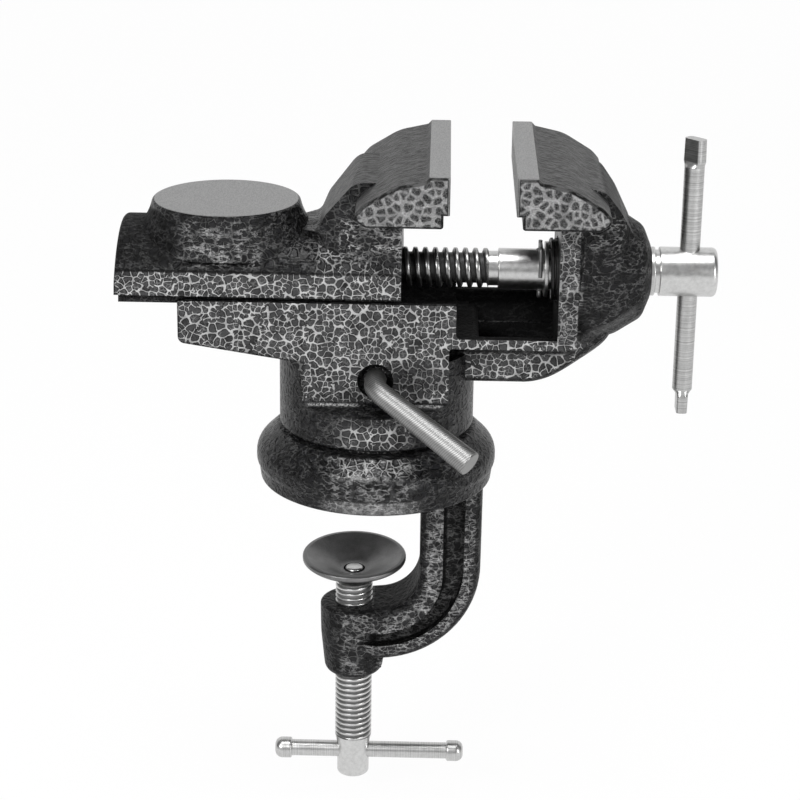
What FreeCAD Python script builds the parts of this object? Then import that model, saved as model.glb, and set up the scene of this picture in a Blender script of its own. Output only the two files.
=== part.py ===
"""Clamp-on swivel vise with a round anvil: a base with its C clamp, a turning body that carries the
fixed jaw, and a sliding jaw with the anvil, drawn in by one lead screw.

Millimetres. +Z is up, +X runs along the lead screw from the anvil to its handle, and -Y is the side
of the lock lever. The origin lies on the swivel axis, on the face that sits on the table.
"""
import FreeCAD, Part
import math
import os

V = FreeCAD.Vector

# ---------------------------------------------------------------- clearances
running = 0.06            # radial play of a shaft in its bore
seat = 0.05               # play between flat faces that slide or turn on each other
loose = 0.3               # gap between curved faces that don't touch

# ---------------------------------------------------------------- base flange and spigot
flange_r = 36.7           # widest radius of the flange
flange_foot_r = 35.4      # radius at the table face
flange_band_h = 4.2       # upright band above the table face
flange_h = 16.5           # height of the flange's top
flange_top_r = 30.3
shadow_gap = 1.5          # open groove between flange and body
land_r = 26.5             # raised ring that the body turns on
spigot_r = 13.4
spigot_h = 27.0           # above the land
lock_groove_depth = 1.8
lock_groove_w = 9.0

# ---------------------------------------------------------------- C clamp
clamp_x = -6.45           # axis of the clamp screw
arm_half = 11.5           # half width of the arm
arm_inner_x = 14.1        # inner flank of the upright
arm_outer_x = 33.2        # outer flank of the upright
arm_edge = 3.3            # rounding of the arm's long edges
arm_root_z = 4.0          # how far the arm reaches up into the flange
arm_outer_lean = 0.4      # how far the outer flank leans in at the foot
arm_top_z = -43.4         # top of the arm's foot, beside the boss
arm_top_rise = 2.0        # how far it rises towards the elbow
arm_low_z = -59.6         # underside of the arm's foot, at the boss
arm_low_rise = 0.4
arm_elbow_in = 13.0       # inner and outer bend of the arm
arm_elbow_out = 32.2
arm_end_half = 9.9        # half width where the foot runs into the boss
arm_end_len = 9.0
arm_rib_in = 7.2          # inner flank to the edge of the side groove
arm_rib_out = 5.2         # outer flank to the edge of the side groove
arm_groove_depth = 4.0
arm_groove_foot = 2.0     # rounding at the foot of the inner rib
boss_r = 10.6
boss_waist_r = 10.4       # where its taper starts
boss_top_z = -43.5
boss_low_z = -67.6
boss_low_r = 9.0
boss_taper_h = 13.6
gusset_half = 6.0         # web between the boss and the arm's underside
gusset_h = 4.8
gusset_reach = 9.7        # from the clamp screw's axis to its upright flank

# ---------------------------------------------------------------- clamp screw, pad and bar
clamp_thread_r = 5.85
clamp_thread_low_z = -90.8
clamp_end_r = 5.1
clamp_end_z = -104.6
clamp_taper_h = 3.6
clamp_bar_z = -96.8
clamp_bar_r = 2.6
clamp_bar_len = 60.7      # over the caps
clamp_bar_shift = 5.2     # where the bar lies in its hole
cap_r = 3.35
cap_len = 5.4
cap_neck_r = 1.5          # the bar's neck inside a cap
cap_end = 1.6             # wall of a cap past the end of the neck
pad_rim_z = -27.7
pad_r = 16.2
pad_h = 7.1
pad_wall = 1.3
pad_hub_r = 5.6
pad_hub_h = 2.2           # thickness of the dish round its rivet
pad_lean = 3.6            # degrees that the loose dish leans forward
pad_hole_r = 2.6
pad_sink_r = 3.7
pad_sink_depth = 1.5
pad_pin_r = 2.2
pad_pin_head_r = 3.1
pad_dome_r = 3.0          # narrow end of the screw under the dish
pad_dome_h = 1.2

# ---------------------------------------------------------------- swivel body
body_half = 20.0          # half width of the body and of the slide
socket_r = 29.6
socket_flat_z = 29.5      # the socket is flattened to the body's width above this height
socket_top_z = 43.5
body_left_x = -58.4
body_left_low_z = 48.1
body_neck_z = 43.3        # height where the sloping underside meets the socket
rail_top_z = 60.9
rail_right_x = 23.7
sill_z = 50.6             # near wall of the open pit
far_wall_z = 54.6         # far wall of the pit
rim_h = 3.0               # thickness of the rim along the pit
keel_half = 12.5
keel_low_z = 34.4
keel_wall = 3.4
keel_tail_x = 44.0        # where the keel starts to rise
pit_right_x = 53.6        # inner face of the fixed jaw's neck
neck_band_x = 59.4        # back of the neck's upright band
pit_floor_z = 38.2
nose_r = 19.5
nose_bevel_x = 70.0       # where the nose starts to taper
nose_brow_x = 79.0
nose_brow_r = 13.9
pit_half = 16.8
channel_half = 13.0       # channel under the slide
channel_floor_z = 50.0
lever_z = 37.0            # height of the lock lever's hole
lever_sink_r = 5.4
lever_sink_depth = 2.2

# ---------------------------------------------------------------- jaws
jaw_half = 35.0           # half width of both jaws
jaw_top_z = 103.6
jaw_low_z = 88.3
jaw_strip = 5.85          # ground strip on top of a jaw
jaw_face_h = 11.4         # height of the gripping face
jaw_face_proud = 1.8      # how far it stands out
jaw_gap = 18.9            # between the gripping faces
fixed_face_x = 40.05
jaw_back = 28.2           # gripping face to the back of a wing
jaw_shoulder = 1.25       # drop behind the ground strip
jaw_edge = 1.2            # rounding of a wing's end
serration_pitch = 1.6
serration_depth = 0.35

# ---------------------------------------------------------------- slide and anvil
slide_left_x = -77.0
slide_right_x = 7.3
slide_low_z = 62.4
slide_side_z = 69.8       # top edge of the upright sides
slide_top_z = 81.0        # crown of the arch
slide_end_lean = 0.5      # how far the end face leans in
slide_edge = 1.8
tongue_half = 17.4        # dovetail under the slide, at its foot
tongue_waist = 16.5       # and where it joins the slide
tongue_low_z = 59.5
tongue_inset = 0.9
anvil_x = -45.3
anvil_r = 22.0
anvil_z = 87.1
anvil_edge = 1.2
slide_pocket_wall = 6.0
slide_pocket_half = 12.5
slide_pocket_top_z = 74.2
neck_half = 18.0          # half width of the necks under the jaws
nut_len = 30.0            # threaded length in the slide

# ---------------------------------------------------------------- lead screw
screw_z = 66.7
thread_r = 6.0
thread_left_x = -50.0
thread_right_x = 32.6
relief_r = 5.2
shoulder_x = 36.0
shoulder_r = 6.1
nose_x = 81.3             # end face of the nose
nose_face_r = 7.9
washer_t = 1.5
washer_r = 7.35
head_r = 7.4
head_groove_r = 6.5
head_groove_w = 1.3
head_right_x = 101.3
head_edge = 1.5
bar_x = 93.1
bar_r = 3.0
bar_low_z = 29.6          # where the round part of the bar ends
bar_top_z = 99.2
bar_low_tip = 7.0         # length of the pinched ends
bar_top_tip = 8.4
bar_tip_shoulder = 1.6
bar_tip_taper = 0.97
bar_low_half = (1.7, 3.7) # half thickness and half width of the lower end
bar_top_half = (1.8, 3.35)
bar_top_turn = 45.0       # degrees between the two pinches
bar_tip_edge = 1.1

# ---------------------------------------------------------------- cotter pin, washer and spring
cotter_x = 48.5
cotter_r = 1.15           # both legs together, in the hole
cotter_wire_r = 0.6       # one leg
cotter_eye_r = 1.0        # middle of the eye's wire
cotter_tail = 9.1         # lowest point of the eye below the screw's axis
cotter_rise = 8.8         # highest point above the screw's axis
cotter_bend_r = 1.3
cotter_leg_low = -0.6     # end of the bent leg, above or below the screw's axis
spring_washer_x = 49.8
spring_washer_t = 1.1
spring_washer_r = 8.4
spring_r = 9.6            # outer radius of the spring
spring_wire_r = 0.6
spring_turns = 5
spring_steps = 18         # straight runs in one turn
spring_sides = 6          # flats round the wire
spring_bore_r = 10.2
spring_bore_depth = 5.2

# ---------------------------------------------------------------- lock lever
lever_x = 0.1
lever_thread_r = 3.0
lever_rod_r = 3.25        # at the bend
lever_end_r = 3.85        # at the free end
lever_out_y = -23.0       # where the bend starts
lever_bend_r = 6.0
lever_arm = 34.0
lever_dir = (0.759, -0.494, -0.4235)


# ================================================================ outlines and simple solids
def rounded(points, place):
    """Face of a closed outline of (u, v, radius) corners: straight runs joined by tangent arcs."""
    arcs = []
    count = len(points)
    for i in range(count):
        u, v, radius = points[i]
        here = V(u, v, 0)
        back = V(points[i - 1][0] - u, points[i - 1][1] - v, 0)
        ahead = V(points[(i + 1) % count][0] - u, points[(i + 1) % count][1] - v, 0)
        back.normalize()
        ahead.normalize()
        if radius == 0:
            arcs.append((here, here, here))
            continue
        half = back.getAngle(ahead) / 2
        reach = radius / math.tan(half)
        middle = back + ahead
        middle.normalize()
        middle = here + middle * (radius / math.sin(half) - radius)
        arcs.append((here + back * reach, middle, here + ahead * reach))
    edges = []
    for i in range(count):
        first, middle, last = arcs[i]
        if (last - first).Length > 1e-6:
            edges.append(Part.Arc(place(first), place(middle), place(last)).toShape())
        following = arcs[(i + 1) % count][0]
        if (following - last).Length > 1e-6:
            edges.append(Part.LineSegment(place(last), place(following)).toShape())
    return Part.Face(Part.Wire(edges))


def prism_y(points, y0, y1):
    """Outline in X and Z, carried from y0 to y1."""
    return rounded(points, lambda p: V(p.x, y0, p.y)).extrude(V(0, y1 - y0, 0))


def prism_x(points, x0, x1):
    """Outline in Y and Z, carried from x0 to x1."""
    return rounded(points, lambda p: V(x0, p.x, p.y)).extrude(V(x1 - x0, 0, 0))


def prism_z(points, z0, z1):
    """Outline in X and Y, carried from z0 to z1."""
    return rounded(points, lambda p: V(p.x, p.y, z0)).extrude(V(0, 0, z1 - z0))


def turned_z(points, x=0.0):
    """Outline of (radius, z, corner radius), turned about an upright axis at x."""
    face = rounded(points, lambda p: V(x + p.x, 0, p.y))
    return face.revolve(V(x, 0, 0), V(0, 0, 1), 360)


def turned_x(points):
    """Outline of (x, radius, corner radius), turned about the lead screw's axis."""
    face = rounded(points, lambda p: V(p.x, 0, screw_z + p.y))
    return face.revolve(V(0, 0, screw_z), V(1, 0, 0), 360)


def drum(radius, start, direction, length):
    return Part.makeCylinder(radius, length, start, direction)


def block(x0, x1, y0, y1, z0, z1):
    return Part.makeBox(x1 - x0, y1 - y0, z1 - z0, V(x0, y0, z0))


def edges_where(shape, test):
    """Edges whose every sampled point passes the test."""
    picked = []
    for edge in shape.Edges:
        first, last = edge.ParameterRange
        samples = [edge.valueAt(first + (last - first) * share) for share in (0.0, 0.25, 0.5, 0.75, 1.0)]
        if all(test(p) for p in samples):
            picked.append(edge)
    return picked


def near(a, b, slack=0.02):
    return abs(a - b) < slack


# ================================================================ base with its C clamp
swivel_z = flange_h + shadow_gap


def flange():
    foot = [
        (0, 0, 0),
        (flange_foot_r, 0, 0.8),
        (flange_foot_r + 0.6, flange_band_h, 0),
        (flange_r, flange_band_h + 1.6, 3.0),
        (flange_r, flange_h - 6.2, 6.0),
        (flange_top_r, flange_h, 1.2),
        (land_r, flange_h, 0),
        (land_r, swivel_z, 0.3),
        (spigot_r, swivel_z, 0),
        (spigot_r, swivel_z + spigot_h, 1.0),
        (0, swivel_z + spigot_h, 0),
    ]
    solid = turned_z(foot)
    groove = [
        (spigot_r - lock_groove_depth, lever_z - lock_groove_w / 2, 0.4),
        (spigot_r + 1, lever_z - lock_groove_w / 2 - 0.8, 0),
        (spigot_r + 1, lever_z + lock_groove_w / 2 + 0.8, 0),
        (spigot_r - lock_groove_depth, lever_z + lock_groove_w / 2, 0.4),
    ]
    return solid.cut(turned_z(groove))


def arm_outline(inset_in, inset_out, top_z):
    """The arm's side outline, drawn inset_in from its inner flank and inset_out from its outer one."""
    bend_in = arm_elbow_in + inset_in
    bend_out = arm_elbow_out - inset_out
    return [
        (arm_inner_x + inset_in, top_z, 0),
        (arm_inner_x + inset_in, arm_top_z + arm_top_rise - inset_in, bend_in),
        (clamp_x, arm_top_z - inset_in, 0),
        (clamp_x, arm_low_z + inset_out, 0),
        (arm_outer_x - arm_outer_lean - inset_out, arm_low_z + arm_low_rise + inset_out, bend_out),
        (arm_outer_x - inset_out, top_z, 0),
    ]


def clamp_arm():
    arm = prism_y(arm_outline(0, 0, arm_root_z), -arm_half, arm_half)
    long_edges = edges_where(
        arm,
        lambda p: near(abs(p.y), arm_half) and not (near(p.z, arm_root_z) or near(p.x, clamp_x)),
    )
    long_edges = [e for e in long_edges if e.Length > 1]
    arm = arm.makeFillet(arm_edge, long_edges)
    plan = [
        (clamp_x - 1, -arm_end_half, 0),
        (clamp_x + 1, -arm_end_half, 4.0),
        (clamp_x + arm_end_len, -arm_half - 0.4, 8.0),
        (arm_outer_x + 1, -arm_half - 0.4, 0),
        (arm_outer_x + 1, arm_half + 0.4, 0),
        (clamp_x + arm_end_len, arm_half + 0.4, 8.0),
        (clamp_x + 1, arm_end_half, 4.0),
        (clamp_x - 1, arm_end_half, 0),
    ]
    arm = arm.common(prism_z(plan, arm_low_z - 5, arm_root_z + 1))
    for side in (-1, 1):
        arm = arm.cut(arm_groove(side))
    return arm


def arm_groove(side):
    """Groove along one face of the arm, with a round foot under its inner rib."""
    floor_y = side * (arm_half - arm_groove_depth)
    tool = prism_y(arm_outline(arm_rib_in, arm_rib_out, -1.0), floor_y, side * (arm_half + 2))
    inner_x = arm_inner_x + arm_rib_in
    foot = edges_where(tool, lambda p: near(p.y, floor_y) and near(p.x, inner_x))
    return tool.makeFillet(arm_groove_foot, foot)


def clamp_boss():
    """Threaded boss at the end of the arm."""
    profile = [
        (0, boss_top_z, 0),
        (boss_r, boss_top_z, 1.2),
        (boss_waist_r, boss_low_z + boss_taper_h, 30.0),
        (boss_low_r, boss_low_z, 2.8),
        (0, boss_low_z, 0),
    ]
    return turned_z(profile, clamp_x)


def clamp_gusset():
    """Small web in the corner between the boss and the arm's underside."""
    flank_x = clamp_x + gusset_reach
    outline = [
        (clamp_x, arm_low_z + 3, 0),
        (clamp_x, arm_low_z - gusset_h, 0),
        (flank_x - 0.8, arm_low_z - gusset_h, 0),
        (flank_x, arm_low_z, 3.4),
        (flank_x + 6, arm_low_z + 1.3, 0),
        (flank_x + 6, arm_low_z + 3, 0),
    ]
    return prism_y(outline, -gusset_half, gusset_half)


def clamp_base():
    """Flange with the swivel spigot, the C arm and the threaded boss: one casting."""
    casting = flange().fuse([clamp_arm(), clamp_boss(), clamp_gusset()])
    bore_top = boss_top_z + 20
    bore = drum(clamp_thread_r + running, V(clamp_x, 0, bore_top), V(0, 0, -1), bore_top - boss_low_z + 5)
    return casting.cut(bore).removeSplitter()


# ================================================================ clamp screw, pad and bar
pad_low_z = pad_rim_z - pad_h
pad_dome_gap = seat + pad_dome_r * math.tan(math.radians(pad_lean))


def clamp_screw():
    """Threaded rod with a riveted pin for the pad and a cross hole for the bar."""
    shoulder_z = pad_low_z - pad_dome_gap
    pin_top = pad_low_z + pad_hub_h + 0.5
    profile = [
        (0, clamp_end_z, 0),
        (clamp_end_r, clamp_end_z, 0.9),
        (clamp_end_r, clamp_thread_low_z - clamp_taper_h, 0),
        (clamp_thread_r, clamp_thread_low_z, 0),
        (clamp_thread_r, shoulder_z - pad_dome_h, 0),
        (pad_dome_r, shoulder_z, 0),
        (pad_pin_r, shoulder_z, 0),
        (pad_pin_r, pin_top - 0.9, 0),
        (pad_pin_head_r, pin_top - 0.8, 0.3),
        (pad_pin_head_r - 0.6, pin_top, 0.6),
        (0, pin_top + 0.15, 0),
    ]
    rod = turned_z(profile, clamp_x)
    hole = drum(clamp_bar_r + running, V(clamp_x - 10, 0, clamp_bar_z), V(1, 0, 0), 20)
    return rod.cut(hole)


def clamp_pad():
    """Pressed dish, riveted loosely on the screw's pin, so that it leans a little."""
    floor_z = pad_low_z + pad_hub_h
    profile = [
        (pad_hole_r, pad_low_z, 0),
        (pad_hub_r, pad_low_z, 0.5),
        (pad_r - 1.0, pad_rim_z - pad_wall - 0.9, 5.0),
        (pad_r, pad_rim_z - pad_wall, 0.5),
        (pad_r, pad_rim_z, 0.5),
        (pad_r - 1.3, pad_rim_z, 0.3),
        (pad_sink_r + 0.8, floor_z, 5.0),
        (pad_sink_r, floor_z, 0),
        (pad_sink_r, floor_z - pad_sink_depth, 0),
        (pad_hole_r, floor_z - pad_sink_depth, 0),
    ]
    dish = turned_z(profile, clamp_x)
    dish.rotate(V(clamp_x, 0, pad_low_z), V(1, 0, 0), pad_lean)
    return dish


bar_centre_x = clamp_x + clamp_bar_shift


def clamp_bar():
    """Plain sliding bar with a neck at each end for the pressed caps."""
    half = clamp_bar_len / 2
    start = V(bar_centre_x - half + cap_len, 0, clamp_bar_z)
    rod = drum(clamp_bar_r, start, V(1, 0, 0), clamp_bar_len - 2 * cap_len)
    neck_start = V(bar_centre_x - half + cap_end, 0, clamp_bar_z)
    neck = drum(cap_neck_r, neck_start, V(1, 0, 0), clamp_bar_len - 2 * cap_end)
    return rod.fuse(neck).removeSplitter()


def clamp_bar_cap(side):
    """Rounded cap, pressed on one end of the bar."""
    half = clamp_bar_len / 2
    outline = [
        (half - cap_len, 0, 0),
        (half - cap_len, cap_r, 0.6),
        (half, cap_r, 2.3),
        (half, 0, 0),
    ]
    face = rounded(outline, lambda p: V(bar_centre_x + side * p.x, 0, clamp_bar_z + p.y))
    cap = face.revolve(V(0, 0, clamp_bar_z), V(1, 0, 0), 360)
    start = V(bar_centre_x + side * (half - cap_len), 0, clamp_bar_z)
    return cap.cut(drum(cap_neck_r, start, V(side, 0, 0), cap_len - cap_end))


# ================================================================ jaws, shared by both castings
def jaw_outline(face_x, side):
    """Side outline of a jaw with its face at face_x; side is the way from the face to its back."""
    strip = face_x + side * jaw_strip
    back = face_x + side * jaw_back
    foot = face_x + side * jaw_face_proud
    return [
        (face_x, jaw_top_z, 0.2),
        (strip, jaw_top_z, 0.3),
        (strip + side * 1.15, jaw_top_z - jaw_shoulder, 0.6),
        (back - side * 12.4, jaw_top_z - 3.2, 14.0),
        (back - side * 3.4, jaw_low_z + 6.6, 8.0),
        (back, jaw_low_z + 2.7, 2.2),
        (back - side * 4.2, jaw_low_z, 2.0),
        (foot, jaw_low_z, 0.8),
        (foot, jaw_top_z - jaw_face_h, 0),
        (face_x, jaw_top_z - jaw_face_h, 0.2),
    ]


def serrations(face_x, side):
    """Upright V grooves across a gripping face."""
    tools = []
    count = int(2 * jaw_half / serration_pitch) - 1
    for i in range(count):
        y = (i - (count - 1) / 2) * serration_pitch
        corners = [
            V(face_x - side * 0.2, y - serration_depth - 0.2, jaw_top_z - jaw_face_h - 1),
            V(face_x + side * serration_depth, y, jaw_top_z - jaw_face_h - 1),
            V(face_x - side * 0.2, y + serration_depth + 0.2, jaw_top_z - jaw_face_h - 1),
        ]
        corners.append(corners[0])
        groove = Part.Face(Part.makePolygon(corners)).extrude(V(0, 0, jaw_face_h - 1.0))
        tools.append(groove)
    return tools


def jaw(face_x, side):
    """Jaw block with softened ends."""
    solid = prism_y(jaw_outline(face_x, side), -jaw_half, jaw_half)
    ends = edges_where(
        solid,
        lambda p: near(abs(p.y), jaw_half) and side * (p.x - face_x) > jaw_strip + 0.4,
    )
    return solid.makeFillet(jaw_edge, ends)


# ================================================================ swivel body with the fixed jaw
def body_block():
    """Main block under the slide, with the flat tab on the socket's sides."""
    tab = math.sqrt(socket_r ** 2 - body_half ** 2)
    outline = [
        (body_left_x, rail_top_z, 0.5),
        (body_left_x, body_left_low_z, 2.2),
        (-tab, body_neck_z - 0.9, 6.5),
        (-tab, socket_flat_z, 0.6),
        (tab, socket_flat_z, 0.6),
        (tab, sill_z - rim_h, 1.0),
        (pit_right_x, sill_z - rim_h, 0),
        (pit_right_x, sill_z, 0),
        (rail_right_x, sill_z, 1.5),
        (rail_right_x, rail_top_z, 0.5),
    ]
    return prism_y(outline, -body_half, body_half)


def socket():
    """Round socket that turns on the base, flattened to the body's width above its ring."""
    profile = [
        (0, swivel_z, 0),
        (socket_r - 0.6, swivel_z, 0),
        (socket_r, swivel_z + 0.6, 0),
        (socket_r, socket_top_z, 0),
        (0, socket_top_z, 0),
    ]
    drum_solid = turned_z(profile)
    for side in (-1, 1):
        flat = prism_x(
            [
                (side * body_half, socket_top_z + 1, 0),
                (side * body_half, socket_flat_z, 2.0),
                (side * (socket_r + 1), socket_flat_z - 1.2, 0),
                (side * (socket_r + 1), socket_top_z + 1, 0),
            ],
            -socket_r - 1,
            socket_r + 1,
        )
        drum_solid = drum_solid.cut(flat)
    return drum_solid


def keel():
    """Rimmed trough behind the socket; its keel swings up and rounds off into the nose."""
    rim_low_z = sill_z - rim_h
    upper = [
        (keel_half, rim_low_z, 5.5),
        (body_half, rim_low_z, 1.0),
        (body_half, far_wall_z, 0.8),
        (body_half - 3.2, far_wall_z, 0.8),
        (body_half - 3.2, sill_z, 0),
        (-body_half, sill_z, 0),
        (-body_half, rim_low_z, 1.0),
        (-keel_half, rim_low_z, 5.5),
    ]
    inside_socket_x = 10.0
    trough_outline = upper + [(-keel_half, keel_low_z, 2.5), (keel_half, keel_low_z, 2.5)]
    trough = prism_x(trough_outline, inside_socket_x, keel_tail_x + 1)
    rim_outline = upper + [(-keel_half, rim_low_z - 6, 0), (keel_half, rim_low_z - 6, 0)]
    rim = prism_x(rim_outline, keel_tail_x, neck_band_x)
    hull_half = keel_half + 0.05      # a hair past the trough's sides, so that no two faces coincide
    stations = [
        (keel_tail_x, hull_half, keel_low_z - 0.03, 2.5),
        (keel_tail_x + 4, hull_half, keel_low_z + 0.4, 2.7),
        (keel_tail_x + 9, hull_half, keel_low_z + 2.1, 3.2),
        (keel_tail_x + 14, hull_half, keel_low_z + 4.9, 4.4),
        (keel_tail_x + 20, hull_half - 0.3, keel_low_z + 8.5, 6.5),
        (keel_tail_x + 26, hull_half - 0.6, keel_low_z + 14.1, 9.0),
    ]
    top = far_wall_z + 5
    hoops = []
    for x, half, low, corner in stations:
        hoop = [(-half, top, 0), (-half, low, corner), (half, low, corner), (half, top, 0)]
        hoops.append(rounded(hoop, lambda p: V(x, p.x, p.y)).OuterWire)
    return trough.fuse([rim, Part.makeLoft(hoops, True)])


def nose():
    """Round nose on the screw's axis."""
    profile = [
        (pit_right_x, 0, 0),
        (pit_right_x, nose_r, 0),
        (nose_bevel_x, nose_r, 9.0),
        (nose_brow_x, nose_brow_r, 5.0),
        (nose_x, nose_face_r + 0.3, 1.2),
        (nose_x, 0, 0),
    ]
    return turned_x(profile)


def fixed_neck():
    """Neck between the nose and the fixed jaw."""
    side = [
        (pit_right_x, sill_z - rim_h, 0),
        (neck_band_x, sill_z - rim_h, 3.5),
        (neck_band_x, screw_z, 0),
        (nose_bevel_x + 2, screw_z + 1.3, 0),
        (nose_x - 5.3, screw_z + 12.8, 6.0),
        (nose_x - 10.3, jaw_low_z + 0.9, 12.0),
        (nose_x - 14.8, jaw_low_z + 7.1, 5.0),
        (neck_band_x - 1.4, jaw_low_z + 9.7, 0),
        (pit_right_x, jaw_low_z + 9.7, 0),
    ]
    plan = [
        (pit_right_x, -body_half, 0),
        (neck_band_x, -body_half, 1.0),
        (neck_band_x + 1.0, -body_half + 1.2, 1.0),
        (nose_bevel_x, -neck_half, 8.0),
        (nose_brow_x, -7.0, 4.0),
        (nose_brow_x, 7.0, 4.0),
        (nose_bevel_x, neck_half, 8.0),
        (neck_band_x + 1.0, body_half - 1.2, 1.0),
        (neck_band_x, body_half, 1.0),
        (pit_right_x, body_half, 0),
    ]
    return prism_y(side, -body_half, body_half).common(prism_z(plan, pit_floor_z, jaw_top_z))


def pit_and_bores(casting):
    """Cuts the open pit, the slide's channel and dovetail, the bores and the lever's hole."""
    pit = prism_x(
        [
            (-pit_half, far_wall_z + 8, 0),
            (-pit_half, sill_z - 1.5, 4.0),
            (-keel_half + keel_wall, sill_z - rim_h - 4.5, 3.0),
            (-keel_half + keel_wall, pit_floor_z, 2.0),
            (keel_half - keel_wall, pit_floor_z, 2.0),
            (keel_half - keel_wall, sill_z - rim_h - 4.5, 3.0),
            (pit_half, sill_z - 1.5, 4.0),
            (pit_half, far_wall_z + 8, 0),
        ],
        rail_right_x + 4.0,
        pit_right_x,
    )
    keel_clear = socket_r + 1.0
    pit = pit.common(
        prism_y(
            [
                (rail_right_x, far_wall_z + 8, 0),
                (rail_right_x, channel_floor_z, 0),
                (keel_clear, channel_floor_z, 2.0),
                (keel_clear, pit_floor_z, 2.0),
                (48.0, pit_floor_z, 8.0),
                (pit_right_x, pit_floor_z + 4.5, 0),
                (pit_right_x, far_wall_z + 8, 0),
            ],
            -body_half,
            body_half,
        )
    )
    over = rail_top_z + 1
    channel = block(body_left_x + 5, pit_right_x, -channel_half, channel_half, channel_floor_z, over)
    channel = channel.makeFillet(2.0, edges_where(channel, lambda p: near(p.z, channel_floor_z)))
    slot_floor = tongue_low_z - seat
    grow = running + 0.04
    rise = (tongue_half - tongue_waist) / (slide_low_z - tongue_low_z)
    top_half = tongue_half + grow - rise * (over - slot_floor)
    dovetail = prism_x(
        [
            (-tongue_half - grow, slot_floor, 0),
            (tongue_half + grow, slot_floor, 0),
            (top_half, over, 0),
            (-top_half, over, 0),
        ],
        body_left_x - 1,
        rail_right_x + 1,
    )
    pit_side = V(pit_right_x - 2, 0, screw_z)
    screw_bore = drum(shoulder_r + running, pit_side, V(1, 0, 0), nose_x - pit_right_x + 5)
    spring_bore = drum(spring_bore_r, pit_side, V(1, 0, 0), spring_bore_depth + 2)
    socket_bore = drum(spigot_r + running, V(0, 0, swivel_z - 1), V(0, 0, 1), spigot_h + 1.5)
    front = V(lever_x, -body_half - 1, lever_z)
    lever_hole = drum(lever_thread_r + running, front, V(0, 1, 0), body_half - spigot_r + 2)
    lever_sink = drum(lever_sink_r, front, V(0, 1, 0), lever_sink_depth + 1)
    sink_floor = V(lever_x, -body_half + lever_sink_depth, lever_z)
    lever_cone = Part.makeCone(lever_sink_r, lever_thread_r + 0.5, 1.2, sink_floor, V(0, 1, 0))
    casting = casting.cut([pit, channel, dovetail, screw_bore, spring_bore])
    return casting.cut([socket_bore, lever_hole, lever_sink, lever_cone])


def vise_body():
    """Body casting: socket, rails, open pit, nose and fixed jaw."""
    casting = body_block().fuse([socket(), keel(), nose(), fixed_neck(), jaw(fixed_face_x, 1)])
    casting = pit_and_bores(casting.removeSplitter())
    for groove in serrations(fixed_face_x, 1):
        casting = casting.cut(groove)
    return casting.removeSplitter()


# ================================================================ sliding jaw with the anvil
slide_face_x = fixed_face_x - jaw_gap


def slide_bar():
    """Arched bar with upright sides."""
    rise = slide_top_z - slide_side_z
    arch_r = (body_half ** 2 + rise ** 2) / (2 * rise)
    centre_z = slide_top_z - arch_r
    left_low = V(slide_left_x, -body_half, slide_low_z)
    left_high = V(slide_left_x, -body_half, slide_side_z)
    crown = V(slide_left_x, 0, centre_z + arch_r)
    right_high = V(slide_left_x, body_half, slide_side_z)
    right_low = V(slide_left_x, body_half, slide_low_z)
    wire = Part.Wire(
        [
            Part.LineSegment(left_low, left_high).toShape(),
            Part.Arc(left_high, crown, right_high).toShape(),
            Part.LineSegment(right_high, right_low).toShape(),
            Part.LineSegment(right_low, left_low).toShape(),
        ]
    )
    bar = Part.Face(wire).extrude(V(slide_right_x - slide_left_x, 0, 0))
    lean = slide_end_lean / (slide_top_z - slide_low_z)
    end = prism_y(
        [
            (slide_left_x - 2, slide_low_z - 1, 0),
            (slide_left_x - lean * 1.0, slide_low_z - 1, 0),
            (slide_left_x + slide_end_lean + lean * 10, slide_top_z + 10, 0),
            (slide_left_x - 2, slide_top_z + 10, 0),
        ],
        -body_half - 1,
        body_half + 1,
    )
    bar = bar.cut(end)
    rim = edges_where(bar, lambda p: p.x < slide_left_x + slide_end_lean + 0.2 and p.z > slide_low_z + 0.1)
    rim = [e for e in rim if e.BoundBox.YLength > 1]
    return bar.makeFillet(slide_edge, rim)


def tongue():
    """Dovetail under the slide."""
    outline = [
        (-tongue_half, tongue_low_z, 0),
        (tongue_half, tongue_low_z, 0),
        (tongue_waist, slide_low_z, 0),
        (tongue_waist, slide_low_z + 1, 0),
        (-tongue_waist, slide_low_z + 1, 0),
        (-tongue_waist, slide_low_z, 0),
    ]
    return prism_x(outline, slide_left_x + tongue_inset, slide_right_x)


def anvil():
    """Anvil: round on top, drawn out along the slide and in across it further down."""
    rings = [
        (anvil_z, 0.0, -0.6),
        (anvil_z - 2.6, 0.7, -0.7),
        (anvil_z - 5.6, 2.1, -1.0),
        (anvil_z - 9.0, 4.4, -1.6),
        (anvil_z - 14.5, 7.4, -2.4),
    ]
    hoops = []
    for z, along, across in rings:
        hoop = Part.Ellipse(V(0, 0, 0), anvil_r + along, anvil_r + across).toShape()
        hoop.translate(V(anvil_x, 0, z))
        hoops.append(Part.Wire(hoop))
    pillar = Part.makeLoft(hoops, True)
    return pillar.makeFillet(anvil_edge, edges_where(pillar, lambda p: near(p.z, anvil_z)))


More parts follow.
